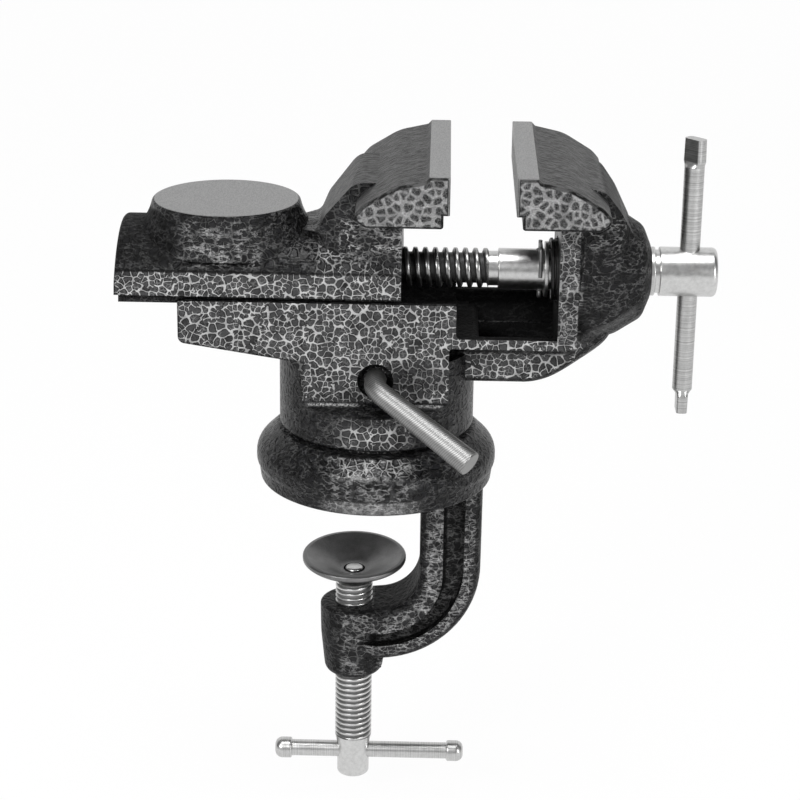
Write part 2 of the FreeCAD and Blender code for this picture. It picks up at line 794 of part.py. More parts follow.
def slide_neck():
    """Neck that carries the moving jaw over the slide."""
    side = [
        (slide_right_x, slide_side_z, 0),
        (slide_right_x, jaw_low_z + 1, 0),
        (slide_right_x - 4, jaw_low_z + 8.7, 0),
        (slide_right_x - 13.8, jaw_low_z + 8.7, 6.0),
        (slide_right_x - 22.5, jaw_low_z - 2.1, 8.0),
        (slide_right_x - 24.9, slide_top_z - 0.3, 2.5),
        (slide_right_x - 29.5, slide_top_z - 0.7, 0),
        (slide_right_x - 29.5, slide_side_z, 0),
    ]
    half = neck_half - 0.4
    plan = [
        (slide_right_x, -half, 0),
        (slide_right_x, half, 0),
        (slide_right_x - 13.3, half, 7.0),
        (slide_right_x - 23.3, half - 3.6, 7.0),
        (slide_right_x - 33.3, half - 11.6, 4.0),
        (slide_right_x - 33.3, 11.6 - half, 4.0),
        (slide_right_x - 23.3, 3.6 - half, 7.0),
        (slide_right_x - 13.3, -half, 7.0),
    ]
    return prism_y(side, -neck_half, neck_half).common(prism_z(plan, slide_low_z, jaw_top_z))


def sliding_jaw():
    """Slide, dovetail, anvil and moving jaw: one casting."""
    casting = slide_bar().fuse([tongue(), anvil(), slide_neck(), jaw(slide_face_x, -1)])
    casting = casting.removeSplitter()
    pocket = block(
        slide_left_x + slide_pocket_wall,
        slide_right_x - nut_len,
        -slide_pocket_half,
        slide_pocket_half,
        tongue_low_z - 1,
        slide_pocket_top_z,
    )
    pocket = pocket.makeFillet(2.5, edges_where(pocket, lambda p: near(p.z, slide_pocket_top_z)))
    casting = casting.cut(pocket)
    bore = drum(thread_r + running, V(slide_right_x + 1, 0, screw_z), V(-1, 0, 0), nut_len + 4)
    casting = casting.cut(bore)
    for groove in serrations(slide_face_x, -1):
        casting = casting.cut(groove)
    return casting.removeSplitter()


# ================================================================ lead screw and what sits on it
head_left_x = nose_x + washer_t + head_groove_w


def lead_screw():
    """Screw with its relief, its shoulder drilled for the cotter pin, and its drilled head."""
    profile = [
        (thread_left_x, 0, 0),
        (thread_left_x, thread_r - 1.2, 0),
        (thread_left_x + 1.2, thread_r, 0),
        (thread_right_x, thread_r, 0),
        (thread_right_x + 0.6, relief_r, 0),
        (shoulder_x, relief_r, 0),
        (shoulder_x, shoulder_r, 0.3),
        (nose_x + washer_t, shoulder_r, 0),
        (nose_x + washer_t, head_groove_r, 0),
        (head_left_x, head_groove_r, 0),
        (head_left_x, head_r, 0.3),
        (head_right_x, head_r, head_edge),
        (head_right_x, 0, 0),
    ]
    rod = turned_x(profile)
    bar_hole = drum(bar_r + running, V(bar_x, 0, screw_z - 2 * head_r), V(0, 0, 1), 4 * head_r)
    pin_hole = drum(cotter_r + running, V(cotter_x, 0, screw_z - head_r), V(0, 0, 1), 2 * head_r)
    return rod.cut([bar_hole, pin_hole])


def lead_bar():
    """Sliding bar with pinched ends that keep it in the head."""
    rod = drum(bar_r, V(bar_x, 0, bar_low_z), V(0, 0, 1), bar_top_z - bar_low_z)
    tips = [
        (bar_low_z, -1, bar_low_tip, bar_low_half, 0.0),
        (bar_top_z, 1, bar_top_tip, bar_top_half, bar_top_turn),
    ]
    for z, way, length, (thin, wide), turn in tips:
        circle = Part.Wire(Part.makeCircle(bar_r, V(bar_x, 0, z), V(0, 0, 1)))
        flats = []
        for share, height in ((1.0, z + way * bar_tip_shoulder), (bar_tip_taper, z + way * length)):
            corners = [
                (-thin * share, -wide * share, bar_tip_edge),
                (thin * share, -wide * share, bar_tip_edge),
                (thin * share, wide * share, bar_tip_edge),
                (-thin * share, wide * share, bar_tip_edge),
            ]
            face = rounded(corners, lambda p: V(bar_x + p.x, p.y, height))
            face.rotate(V(bar_x, 0, 0), V(0, 0, 1), turn)
            flats.append(face.OuterWire)
        rod = rod.fuse([Part.makeLoft([circle, flats[0]], True), Part.makeLoft(flats, True)])
    return rod.removeSplitter()


def washer(x, thickness, outer, inner, edge):
    profile = [
        (x, inner, 0),
        (x + thickness, inner, 0),
        (x + thickness, outer, edge),
        (x, outer, edge),
    ]
    return turned_x(profile)


def bent_rod(points, radius, bend_r):
    """Round rod along straight runs joined by tangent arcs of radius bend_r."""
    edges = []
    start = points[0]
    for i in range(1, len(points) - 1):
        corner = points[i]
        back = points[i - 1] - corner
        ahead = points[i + 1] - corner
        back.normalize()
        ahead.normalize()
        half = back.getAngle(ahead) / 2
        reach = bend_r / math.tan(half)
        middle = back + ahead
        middle.normalize()
        middle = corner + middle * (bend_r / math.sin(half) - bend_r)
        edges.append(Part.LineSegment(start, corner + back * reach).toShape())
        edges.append(Part.Arc(corner + back * reach, middle, corner + ahead * reach).toShape())
        start = corner + ahead * reach
    edges.append(Part.LineSegment(start, points[-1]).toShape())
    section = Part.Wire(Part.makeCircle(radius, points[0], points[1] - points[0]))
    return Part.Wire(edges).makePipeShell([section], True, True)


def cotter_pin():
    """Split pin through the shoulder: eye below, one leg bent down over the front, one left upright."""
    eye_z = screw_z - cotter_tail + cotter_eye_r + cotter_wire_r
    eye = Part.makeTorus(cotter_eye_r, cotter_wire_r, V(cotter_x, 0, eye_z), V(1, 0, 0))
    pin_top = screw_z + shoulder_r + 0.2
    pin = drum(cotter_r, V(cotter_x, 0, eye_z + cotter_eye_r), V(0, 0, 1), pin_top - eye_z - cotter_eye_r)
    leg_y = cotter_r - cotter_wire_r - 0.06
    top_z = screw_z + cotter_rise - cotter_wire_r
    front_y = -(shoulder_r + cotter_wire_r + 0.15)
    route = [
        V(cotter_x, -leg_y, screw_z),
        V(cotter_x, -leg_y, top_z),
        V(cotter_x, front_y, top_z),
        V(cotter_x, front_y, screw_z + cotter_leg_low),
    ]
    front_leg = bent_rod(route, cotter_wire_r, cotter_bend_r)
    rear_leg = drum(cotter_wire_r, V(cotter_x, leg_y, screw_z), V(0, 0, 1), cotter_rise)
    return pin.fuse([eye, front_leg, rear_leg]).removeSplitter()


def screw_spring():
    """Coil spring between its washer and the floor of the nose's counterbore."""
    start_x = spring_washer_x + spring_washer_t + seat + spring_wire_r
    end_x = pit_right_x + spring_bore_depth - seat - spring_wire_r
    middle_r = spring_r - spring_wire_r
    steps = spring_turns * spring_steps
    sections = []
    for i in range(steps + 1):
        turn = 2 * math.pi * i / spring_steps
        x = start_x + (end_x - start_x) * i / steps
        corners = []
        for k in range(spring_sides + 1):
            around = 2 * math.pi * (k + 0.5) / spring_sides
            radius = middle_r + spring_wire_r * math.cos(around)
            height = spring_wire_r * math.sin(around)
            corners.append(V(x + height, radius * math.cos(turn), screw_z + radius * math.sin(turn)))
        sections.append(Part.makePolygon(corners))
    return Part.makeLoft(sections, True, True)


# ================================================================ lock lever
def lock_lever():
    """Bent rod: its threaded end locks the swivel, its flared arm is the handle."""
    tip = V(lever_x, -(spigot_r - lock_groove_depth + loose), lever_z)
    bend_start = V(lever_x, lever_out_y, lever_z)
    out = V(0, -1, 0)
    arm = V(*lever_dir)
    arm.normalize()
    side = arm - out * arm.dot(out)
    side.normalize()
    angle = out.getAngle(arm)
    centre = bend_start + side * lever_bend_r
    middle = centre - side * (lever_bend_r * math.cos(angle / 2)) + out * (lever_bend_r * math.sin(angle / 2))
    bend_end = centre - side * (lever_bend_r * math.cos(angle)) + out * (lever_bend_r * math.sin(angle))
    stud = drum(lever_thread_r, tip, out, tip.y - lever_out_y)
    collar_start = V(lever_x, -body_half + lever_sink_depth - 0.2, lever_z)
    collar = drum(lever_rod_r, collar_start, out, collar_start.y - lever_out_y)
    path = Part.Wire(Part.Arc(bend_start, middle, bend_end).toShape())
    section = Part.Wire(Part.makeCircle(lever_rod_r, bend_start, out))
    bend = path.makePipeShell([section], True, True)
    handle = Part.makeCone(lever_rod_r, lever_end_r, lever_arm, bend_end, arm)
    end_edges = edges_where(handle, lambda p: (p - bend_end).dot(arm) > lever_arm - 0.1)
    handle = handle.makeFillet(0.5, end_edges)
    return stud.fuse([collar, bend, handle]).removeSplitter()


# ================================================================ files
def save(name, shape):
    solids = shape.Solids
    if not shape.isValid() or not solids:
        raise RuntimeError(f"{name} isn't a valid solid")
    body = solids[0] if len(solids) == 1 else Part.makeCompound(solids)
    body.exportStep(os.path.join("parts", name + ".step"))
    print(f"{name}: {len(solids)} solid, volume {shape.Volume / 1000:.2f} cm3")


def main():
    os.makedirs("parts", exist_ok=True)
    save("clamp_base", clamp_base())
    save("clamp_screw", clamp_screw())
    save("clamp_pad", clamp_pad())
    save("clamp_bar", clamp_bar())
    save("clamp_bar_cap_left", clamp_bar_cap(-1))
    save("clamp_bar_cap_right", clamp_bar_cap(1))
    save("vise_body", vise_body())
    save("sliding_jaw", sliding_jaw())
    save("lead_screw", lead_screw())
    save("lead_bar", lead_bar())
    save("thrust_washer", washer(nose_x + seat / 2, washer_t - seat, washer_r, shoulder_r + running, 0.3))
    spring_washer_bore = shoulder_r + running
    save("spring_washer", washer(spring_washer_x, spring_washer_t, spring_washer_r, spring_washer_bore, 0.2))
    save("cotter_pin", cotter_pin())
    save("screw_spring", screw_spring())
    save("lock_lever", lock_lever())


main()
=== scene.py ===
"""Looks of the clamp-on swivel vise: hammertone paint on its castings, turned and threaded steel,
and the studio stage around it. Lengths are metres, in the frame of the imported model."""

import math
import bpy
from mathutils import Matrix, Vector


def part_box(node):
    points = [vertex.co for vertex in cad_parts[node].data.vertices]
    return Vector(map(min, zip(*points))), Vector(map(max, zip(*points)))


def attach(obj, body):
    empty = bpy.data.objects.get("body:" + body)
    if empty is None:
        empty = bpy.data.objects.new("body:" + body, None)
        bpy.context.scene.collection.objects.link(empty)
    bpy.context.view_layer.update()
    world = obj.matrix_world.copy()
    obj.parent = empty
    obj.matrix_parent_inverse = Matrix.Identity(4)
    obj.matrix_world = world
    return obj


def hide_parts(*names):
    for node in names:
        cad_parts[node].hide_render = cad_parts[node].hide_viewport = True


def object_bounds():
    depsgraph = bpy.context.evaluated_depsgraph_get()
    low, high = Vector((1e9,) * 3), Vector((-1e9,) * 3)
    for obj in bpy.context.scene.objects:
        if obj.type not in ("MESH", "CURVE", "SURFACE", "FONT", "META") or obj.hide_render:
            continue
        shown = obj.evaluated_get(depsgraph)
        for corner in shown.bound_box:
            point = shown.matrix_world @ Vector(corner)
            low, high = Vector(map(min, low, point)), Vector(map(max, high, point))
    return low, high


bl_info = {
    "name": "Clamp-on swivel vise",
    "version": (1, 0, 0),
    "blender": (4, 5, 0),
    "location": "3D View > Sidebar > Vise",
    "description": "Finishes, threads and studio stage of a small clamp-on vise",
    "category": "Object",
}

import bmesh
import bpy
import numpy as np
from mathutils import Matrix, Vector

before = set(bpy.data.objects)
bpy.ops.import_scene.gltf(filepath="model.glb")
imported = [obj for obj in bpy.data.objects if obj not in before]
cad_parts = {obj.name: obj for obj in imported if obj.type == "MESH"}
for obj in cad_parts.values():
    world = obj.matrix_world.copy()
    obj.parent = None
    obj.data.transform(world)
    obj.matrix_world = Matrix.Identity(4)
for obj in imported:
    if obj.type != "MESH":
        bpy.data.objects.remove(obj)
cad_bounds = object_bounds()

MM = 0.001
OVERLAP = 0.02 * MM                 # how far a screw's plain part is kept past the end of its thread
SHARP_ANGLE = math.radians(35)      # edges of a new mesh that bend more stay sharp


# ---------------------------------------------------------------- sizes and colours
class PaintSettings(bpy.types.PropertyGroup):
    """Hammertone paint of the castings."""

    cell: bpy.props.FloatProperty(
        name="Cell", description="Width of a large cell of the paint", default=2.45 * MM, unit="LENGTH"
    )
    small_cell: bpy.props.FloatProperty(
        name="Small cell", description="Width of a small cell", default=1.75 * MM, unit="LENGTH"
    )
    wander: bpy.props.FloatProperty(
        name="Wander", description="How far the veins stray sideways", default=0.6 * MM, unit="LENGTH"
    )
    vein: bpy.props.FloatProperty(
        name="Vein", description="Half width of a pale vein, as a share of the cell", default=0.09
    )
    relief: bpy.props.FloatProperty(
        name="Relief", description="Height of the veins over the cells", default=0.25 * MM, unit="LENGTH"
    )
    dark: bpy.props.FloatVectorProperty(
        name="Cell colour", description="Colour inside a cell", subtype="COLOR", size=3,
        default=(0.043, 0.043, 0.044),
    )
    pale: bpy.props.FloatVectorProperty(
        name="Vein colour", description="Colour of the veins", subtype="COLOR", size=3,
        default=(0.42, 0.42, 0.42),
    )
    # painted shade: a darker cell colour for faces that don't look forward or back
    shaded_side: bpy.props.FloatVectorProperty(
        name="Side colour", description="Colour of faces that don't look forward or back",
        subtype="COLOR", size=3, default=(0.009, 0.009, 0.01),
    )
    level: bpy.props.FloatVectorProperty(
        name="Level colour", description="Palest streaks on the level tops of the jaws", subtype="COLOR",
        size=3, default=(0.064, 0.064, 0.064),
    )
    crater: bpy.props.FloatProperty(
        name="Crater", description="Width of a crater on the jaws' ends", default=2.8 * MM, unit="LENGTH"
    )
    wrinkle: bpy.props.FloatProperty(
        name="Wrinkle", description="Spacing of the pale wrinkles", default=2.2 * MM, unit="LENGTH"
    )
    streak: bpy.props.FloatProperty(
        name="Streak", description="Width of the streaks on the level tops", default=1.1 * MM, unit="LENGTH"
    )
    grain: bpy.props.FloatProperty(
        name="Grain", description="Size of the finest specks", default=0.5 * MM, unit="LENGTH"
    )
    # painted shade: how far from a corner the occlusion's shade reaches
    shade_reach: bpy.props.FloatProperty(
        name="Dirt reach", description="How far from a corner its dirt reaches", default=9 * MM, unit="LENGTH"
    )


class SteelSettings(bpy.types.PropertyGroup):
    """Bare metal."""

    bright: bpy.props.FloatVectorProperty(
        name="Bright steel", description="Turned and plated steel", subtype="COLOR", size=3,
        default=(0.66, 0.66, 0.655),
    )
    ground: bpy.props.FloatVectorProperty(
        name="Ground iron", description="Ground faces of the castings", subtype="COLOR", size=3,
        default=(0.32, 0.32, 0.32),
    )
    pressed: bpy.props.FloatVectorProperty(
        name="Pressed steel", description="Dish of the clamp screw", subtype="COLOR", size=3,
        default=(0.22, 0.22, 0.22),
    )
    blackened: bpy.props.FloatVectorProperty(
        name="Spring steel", description="Spring and cotter pin", subtype="COLOR", size=3,
        default=(0.06, 0.06, 0.06),
    )
    # darker colour of the lead screw's thread roots
    root_colour: bpy.props.FloatVectorProperty(
        name="Grease", description="Dirt in the roots of the lead screw", subtype="COLOR", size=3,
        default=(0.035, 0.035, 0.035),
    )


class ThreadSettings(bpy.types.PropertyGroup):
    """Threads of the two screws."""

    lead_pitch: bpy.props.FloatProperty(
        name="Lead pitch", description="Pitch of the lead screw", default=3.0 * MM, unit="LENGTH"
    )
    lead_depth: bpy.props.FloatProperty(
        name="Lead depth", description="Depth of the lead screw's thread", default=1.45 * MM, unit="LENGTH"
    )
    lead_r: bpy.props.FloatProperty(
        name="Lead radius", description="Crest radius of the lead screw", default=6.0 * MM, unit="LENGTH"
    )
    relief_r: bpy.props.FloatProperty(
        name="Relief radius", description="Radius of the relief behind the thread", default=5.2 * MM,
        unit="LENGTH",
    )
    clamp_pitch: bpy.props.FloatProperty(
        name="Clamp pitch", description="Pitch of the clamp screw", default=1.75 * MM, unit="LENGTH"
    )
    clamp_depth: bpy.props.FloatProperty(
        name="Clamp depth", description="Depth of the clamp screw's thread", default=0.85 * MM, unit="LENGTH"
    )


class StageSettings(bpy.types.PropertyGroup):
    """Camera, lamps, floor and backdrop."""

    target: bpy.props.FloatVectorProperty(
        name="Target", description="Point that the camera looks at", size=3, subtype="TRANSLATION",
        default=(0.0075, 0.0, 0.02375),
    )
    distance: bpy.props.FloatProperty(
        name="Distance", description="Camera to target", default=0.7285, unit="LENGTH"
    )
    yaw: bpy.props.FloatProperty(
        name="Yaw", description="Camera's turn", default=math.radians(0.92), subtype="ANGLE"
    )
    pitch: bpy.props.FloatProperty(
        name="Pitch", description="Camera's downward look", default=math.radians(20.32), subtype="ANGLE"
    )
    roll: bpy.props.FloatProperty(
        name="Roll", description="Camera's roll", default=math.radians(0.82), subtype="ANGLE"
    )
    lens: bpy.props.FloatProperty(name="Lens", description="Focal length on a 36 mm sensor", default=106.98)
    shift_x: bpy.props.FloatProperty(name="Shift X", description="Sideways shift", default=-0.0013)
    shift_y: bpy.props.FloatProperty(name="Shift Y", description="Upward shift", default=0.0006)
    floor_gap: bpy.props.FloatProperty(
        name="Floor gap", description="Floor below the lowest point, so that the clamp can open",
        default=0.011, unit="LENGTH",
    )
    white: bpy.props.FloatVectorProperty(
        name="Backdrop", description="Colour of floor and backdrop", subtype="COLOR", size=3,
        default=(1.0, 1.0, 1.0),
    )


# ---------------------------------------------------------------- shader helpers
class Wire:
    """A socket whose arithmetic adds Math nodes."""

    def __init__(self, tree, socket):
        self.tree = tree
        self.socket = socket

    def _math(self, operation, *values):
        return node(self.tree, "ShaderNodeMath", {"operation": operation}, dict(enumerate(values)))[0]

    def __add__(self, other):
        return self._math("ADD", self, other)

    def __sub__(self, other):
        return self._math("SUBTRACT", self, other)

    def __mul__(self, other):
        return self._math("MULTIPLY", self, other)

    def __truediv__(self, other):
        return self._math("DIVIDE", self, other)

    def __rsub__(self, other):
        return self._math("SUBTRACT", other, self)

    def __pow__(self, other):
        return self._math("POWER", self, other)

    def __abs__(self):
        return self._math("ABSOLUTE", self)

    __radd__ = __add__
    __rmul__ = __mul__

    def least(self, other):
        return self._math("MINIMUM", self, other)

    def most(self, other):
        return self._math("MAXIMUM", self, other)

    def sine(self):
        return self._math("SINE", self)

    def step(self, low, high):
        """0 below low, 1 above high, smooth between them."""
        settings = {"interpolation_type": "SMOOTHSTEP"}
        sockets = {"Value": self, "From Min": low, "From Max": high}
        return node(self.tree, "ShaderNodeMapRange", settings, sockets)[0]


def fill(tree, socket, value):
    """Links a Wire to a socket, or sets the socket's own value; a colour gets its alpha."""
    if isinstance(value, Wire):
        tree.links.new(value.socket, socket)
    elif socket.type == "RGBA":
        socket.default_value = (*value[:3], 1.0)
    else:
        socket.default_value = value


def node(tree, kind, settings=None, inputs=None):
    """Adds one node, sets its settings first and then its sockets, and returns its outputs as Wires."""
    made = tree.nodes.new(kind)
    for name, value in (settings or {}).items():
        setattr(made, name, value)
    for name, value in (inputs or {}).items():
        fill(tree, made.inputs[name], value)
    return [Wire(tree, out) for out in made.outputs if out.enabled]


def mix_colour(tree, share, first, second):
    return node(tree, "ShaderNodeMix", {"data_type": "RGBA"}, {0: share, 6: first, 7: second})[0]


def vector_math(tree, operation, first, second):
    return node(tree, "ShaderNodeVectorMath", {"operation": operation}, {0: first, 1: second})[0]


def object_coords(tree):
    """The object's own coordinates, in metres, and its normal."""
    coords = tree.nodes.new("ShaderNodeTexCoord")
    return Wire(tree, coords.outputs["Object"]), Wire(tree, coords.outputs["Normal"])


def separated(tree, vector):
    """The three parts of a vector."""
    return node(tree, "ShaderNodeSeparateXYZ", None, {0: vector})


def stretched(tree, place, scale):
    """Coordinates multiplied by one number for each axis."""
    return node(tree, "ShaderNodeMapping", None, {"Vector": place, "Scale": scale})[0]


def noise(tree, place, size, detail=2.0, roughness=0.5):
    """Noise whose features are about size across, from 0 to 1."""
    sockets = {"Vector": place, "Scale": 1 / size, "Detail": detail, "Roughness": roughness}
    return node(tree, "ShaderNodeTexNoise", None, sockets)[0]


def new_material(name):
    material = bpy.data.materials.new(name)
    material.use_nodes = True
    tree = material.node_tree
    shader = tree.nodes["Principled BSDF"]
    return material, tree, shader


def feed(tree, shader, **sockets):
    """Links Wires and sets numbers on the shader's own sockets; a name's _ stands for a space."""
    for name, value in sockets.items():
        fill(tree, shader.inputs[name.replace("_", " ")], value)


def bump(tree, height, distance, strength=1.0):
    sockets = {"Height": height, "Distance": distance, "Strength": strength}
    return node(tree, "ShaderNodeBump", None, sockets)[0]


# ---------------------------------------------------------------- materials
BLACK = (0.0, 0.0, 0.0)


def dimmed(colour, share):
    """A colour multiplied by a share; more than 1 makes it paler."""
    return tuple(share * c for c in colour)


def strayed(tree, place, paint):
    """Coordinates shifted by a noise, so that veins wander."""
    sockets = {"Vector": place, "Scale": 1 / (0.8 * paint.cell), "Detail": 2.0, "Roughness": 0.45}
    stray = node(tree, "ShaderNodeTexNoise", None, sockets)[1]
    shift = vector_math(tree, "SUBTRACT", stray, (0.5, 0.5, 0.5))
    reach_both_ways = (2 * paint.wander,) * 3
    return vector_math(tree, "ADD", place, vector_math(tree, "MULTIPLY", shift, reach_both_ways))


def flat_cells(tree, flat, size, cut=0.4, start=0.46):
    """Distance in cells to the nearest vein of a flat pattern, and a number of each cell's own. Further than
    start from a cell's centre the distance is cut, which rounds the corners."""
    sockets = {"Vector": flat, "Scale": 1 / size, "Randomness": 0.9}
    kind = {"voronoi_dimensions": "2D"}
    nearest, own = node(tree, "ShaderNodeTexVoronoi", kind | {"feature": "F1"}, sockets)[:2]
    edge = node(tree, "ShaderNodeTexVoronoi", kind | {"feature": "DISTANCE_TO_EDGE"}, sockets)[0]
    return edge - cut * (nearest - start).most(0.0), own


def hammertone(paint, steel, name, bare=None, level=None, painted_shade=None, clear=None, wrinkles_and_glints=None):
    """Black and silver hammertone: dark cells with a pale vein between them, small cells inside the large
    ones and craters on the jaws' ends. A painted reflection shows the cells clear on faces that look forward
    or back, and painted shade makes the faces turned away nearly black. Each optional argument takes a Spot
    and gives a mask: bare the ground faces, level the level tops, hollow the painted shade in hollows and
    along dark lines, clear the painted light and shade that shows the cells clear or dims them, and worn
    the pale wrinkles and the painted highlights."""
    material, tree, shader = new_material(name)
    place, normal = object_coords(tree)
    spot = Spot(separated(tree, place), separated(tree, normal))
    bent = strayed(tree, place, paint)
    moved = separated(tree, bent)
    flat = node(tree, "ShaderNodeCombineXYZ", None, {"X": moved[0], "Y": moved[2]})[0]
    uneven = noise(tree, place, 1.6 * paint.cell)
    cloud = noise(tree, place, 0.6 * paint.cell)
    fine = noise(tree, place, paint.grain, 2.0, 0.7)
    facing = spot.along_y.step(0.7, 0.85)
    on_end = abs(spot.y).step(34.0, 34.5)

    # distance to the nearest vein: large and small cells in patches, and solid cells on faces turned away
    patch = noise(tree, place, 2.2 * paint.cell, 1.0).step(0.5, 0.56)
    large, large_own = flat_cells(tree, flat, paint.cell)
    small, small_own = flat_cells(tree, flat, paint.small_cell)
    own = large_own * (1 - patch) + small_own * patch
    sockets = {"Vector": bent, "Scale": 1 / paint.cell}
    solid = node(tree, "ShaderNodeTexVoronoi", {"feature": "DISTANCE_TO_EDGE"}, sockets)[0]
    inward = (large * (1 - patch) + small * patch) * facing + solid * (1 - facing)

    # veins, the fainter veins of the smallest cells, and the pale rims of the craters
    smallest = flat_cells(tree, flat, 0.6 * paint.small_cell)[0]
    minor = 1 - (smallest / (1.6 * paint.vein)).step(0.05, 1.0)
    vein = 1 - (inward / paint.vein).step(0.05, 1.0)
    vein = vein * (0.1 + 1.4 * uneven).least(1.0) * (0.4 + 0.9 * fine).least(1.0)
    vein = vein.most(0.24 * minor * uneven.step(0.4, 0.65))
    rim = 1 - flat_cells(tree, flat, paint.crater, 0.7, 0.42)[0].step(0.0, 0.26)
    rim = (rim * (0.05 + 1.0 * uneven)).most(0.3 * minor * uneven) * (0.15 + 1.3 * fine)
    vein = vein * (1 - on_end) + on_end * rim.least(1.0)
    haze = (1 - inward.step(0.0, 1.5 * paint.vein)) * (0.04 + 0.12 * uneven.step(0.35, 0.7))

    # colour of forward faces (painted reflection) and of faces turned away (painted shade), with wrinkles
    dome = inward.step(1.0 * paint.vein, 2.4 * paint.vein)
    tone = (0.12 + 0.88 * dome) * (0.3 + 1.4 * own) * (0.6 + 0.8 * cloud) * (0.1 + 1.8 * fine)
    cell = mix_colour(tree, tone, BLACK, paint.dark)
    forward = mix_colour(tree, (vein + haze).least(1.0), cell, paint.pale)
    crossing = noise(tree, stretched(tree, place, (0.65, 1.0, 1.5)), paint.wrinkle, 2.0, 0.55)
    squiggle = (1 - abs(crossing - 0.5).step(0.0, 0.07)) * uneven.step(0.3, 0.6) * fine.step(0.15, 0.6)
    # painted shade: faces turned away take the darker side colour, with faint veins and wrinkles
    away = mix_colour(tree, tone, BLACK, paint.shaded_side)
    away = mix_colour(tree, 0.05 * vein + 0.13 * squiggle, away, paint.pale)
    # painted reflection: the cells show clear only where a face looks forward or back
    front = spot.along_y.step(0.89, 0.99)
    if clear is not None:
        front = clear(spot, front)
    colour = mix_colour(tree, front, away, forward)
    # pale wrinkles of the paint, and painted highlights on edges and bands
    if wrinkles_and_glints is not None:
        colour = mix_colour(tree, wrinkles_and_glints(spot, squiggle, fine), colour, paint.pale)

    # level tops, painted shade in corners and hollows, and bare ground faces, over the relief of the cells
    rough = 0.33 + 0.07 * facing - 0.05 * vein
    height = ((1 - dome) + 0.2 * cloud) * (1.9 - 0.9 * facing)
    metallic = 0.0
    if level is not None:
        lying = level(spot)
        streak = noise(tree, stretched(tree, place, (0.35, 1.0, 0.35)), paint.streak, 3.0, 0.7)
        streaks = mix_colour(tree, streak.step(0.38, 0.62), BLACK, paint.level)
        colour = mix_colour(tree, lying, colour, streaks)
        height = height * (1 - 0.9 * lying) + 0.8 * streak * lying
        rough = rough + 0.12 * lying
    # painted shade: an occlusion node darkens the paint in corners and hollows
    settings = {"samples": 6, "only_local": True}
    openness = node(tree, "ShaderNodeAmbientOcclusion", settings, {"Distance": paint.shade_reach})[1]
    depth = openness.step(0.25, 0.95)
    # painted shade from a mask: darker, rougher and flatter in hollows and along dark lines
    if painted_shade is not None:
        shade_share = painted_shade(spot)
        depth = depth * (1 - shade_share)
        height = height * (1 - 0.8 * shade_share)
        rough = rough * (1 - shade_share) + 0.9 * shade_share
    colour = mix_colour(tree, 0.12 + 0.88 * depth, BLACK, colour)
    if bare is not None:
        ground = bare(spot)
        swirl = noise(tree, stretched(tree, place, (1.0, 0.3, 1.0)), 0.3 * MM, 3.0, 0.6)
        metal = mix_colour(tree, swirl.step(0.3, 0.7), dimmed(steel.ground, 0.7), steel.ground)
        colour = mix_colour(tree, ground, colour, metal)
        rough = rough * (1 - ground) + 0.45 * ground
        height = height * (1 - ground) + 0.04 * swirl * ground
        metallic = 0.7 * ground
    feed(tree, shader, Base_Color=colour, Roughness=rough, Metallic=metallic, Specular_IOR_Level=0.14)
    feed(tree, shader, Normal=bump(tree, height, paint.relief, 1.0))
    return material


def turned_steel(colour, name, direction, ring=0.22 * MM, rough=0.27, dark=0.6):
    """Turned steel with fine rings square to a direction, darker scuffs and faint handling marks."""
    material, tree, shader = new_material(name)
    place = object_coords(tree)[0]
    run = vector_math(tree, "DOT_PRODUCT", place, direction)
    sockets = {"W": run, "Scale": 1 / ring, "Detail": 3.0}
    rings = node(tree, "ShaderNodeTexNoise", {"noise_dimensions": "1D"}, sockets)[0]
    marks = noise(tree, place, 2.2 * MM, 4.0)
    scuff = noise(tree, place, 0.5 * MM, 3.0, 0.7)
    shade = (0.6 * rings + 0.2 * marks + 0.2 * scuff).step(0.34, 0.64)
    tone = mix_colour(tree, shade, dimmed(colour, dark), colour)
    feed(tree, shader, Base_Color=tone, Metallic=1.0, Roughness=rough + 0.14 * marks)
    feed(tree, shader, Normal=bump(tree, rings, 0.03 * MM, 0.6))
    return material


def hatched_steel(colour, name, direction, tilt, pitch):
    """Rolled rod: fine ridges one pitch apart, tilted to its direction, over an uneven steel; its tip is
    plain."""
    material, tree, shader = new_material(name)
    place, normal = object_coords(tree)
    across = tuple(first + second for first, second in zip(direction, tilt))
    run = vector_math(tree, "DOT_PRODUCT", place, across)
    at_tip = vector_math(tree, "DOT_PRODUCT", normal, direction).step(0.6, 0.9)
    ridge = 0.5 + 0.5 * (run * (2 * math.pi / pitch)).sine() * (1 - at_tip)
    marks = noise(tree, place, 2.5 * MM, 3.0)
    tone = mix_colour(tree, (0.6 * ridge + 0.4 * marks).least(1.0), dimmed(colour, 0.45), colour)
    feed(tree, shader, Base_Color=tone, Metallic=1.0, Roughness=0.42 + 0.1 * marks)
    feed(tree, shader, Normal=bump(tree, ridge, 0.04 * MM, 0.5))
    return material


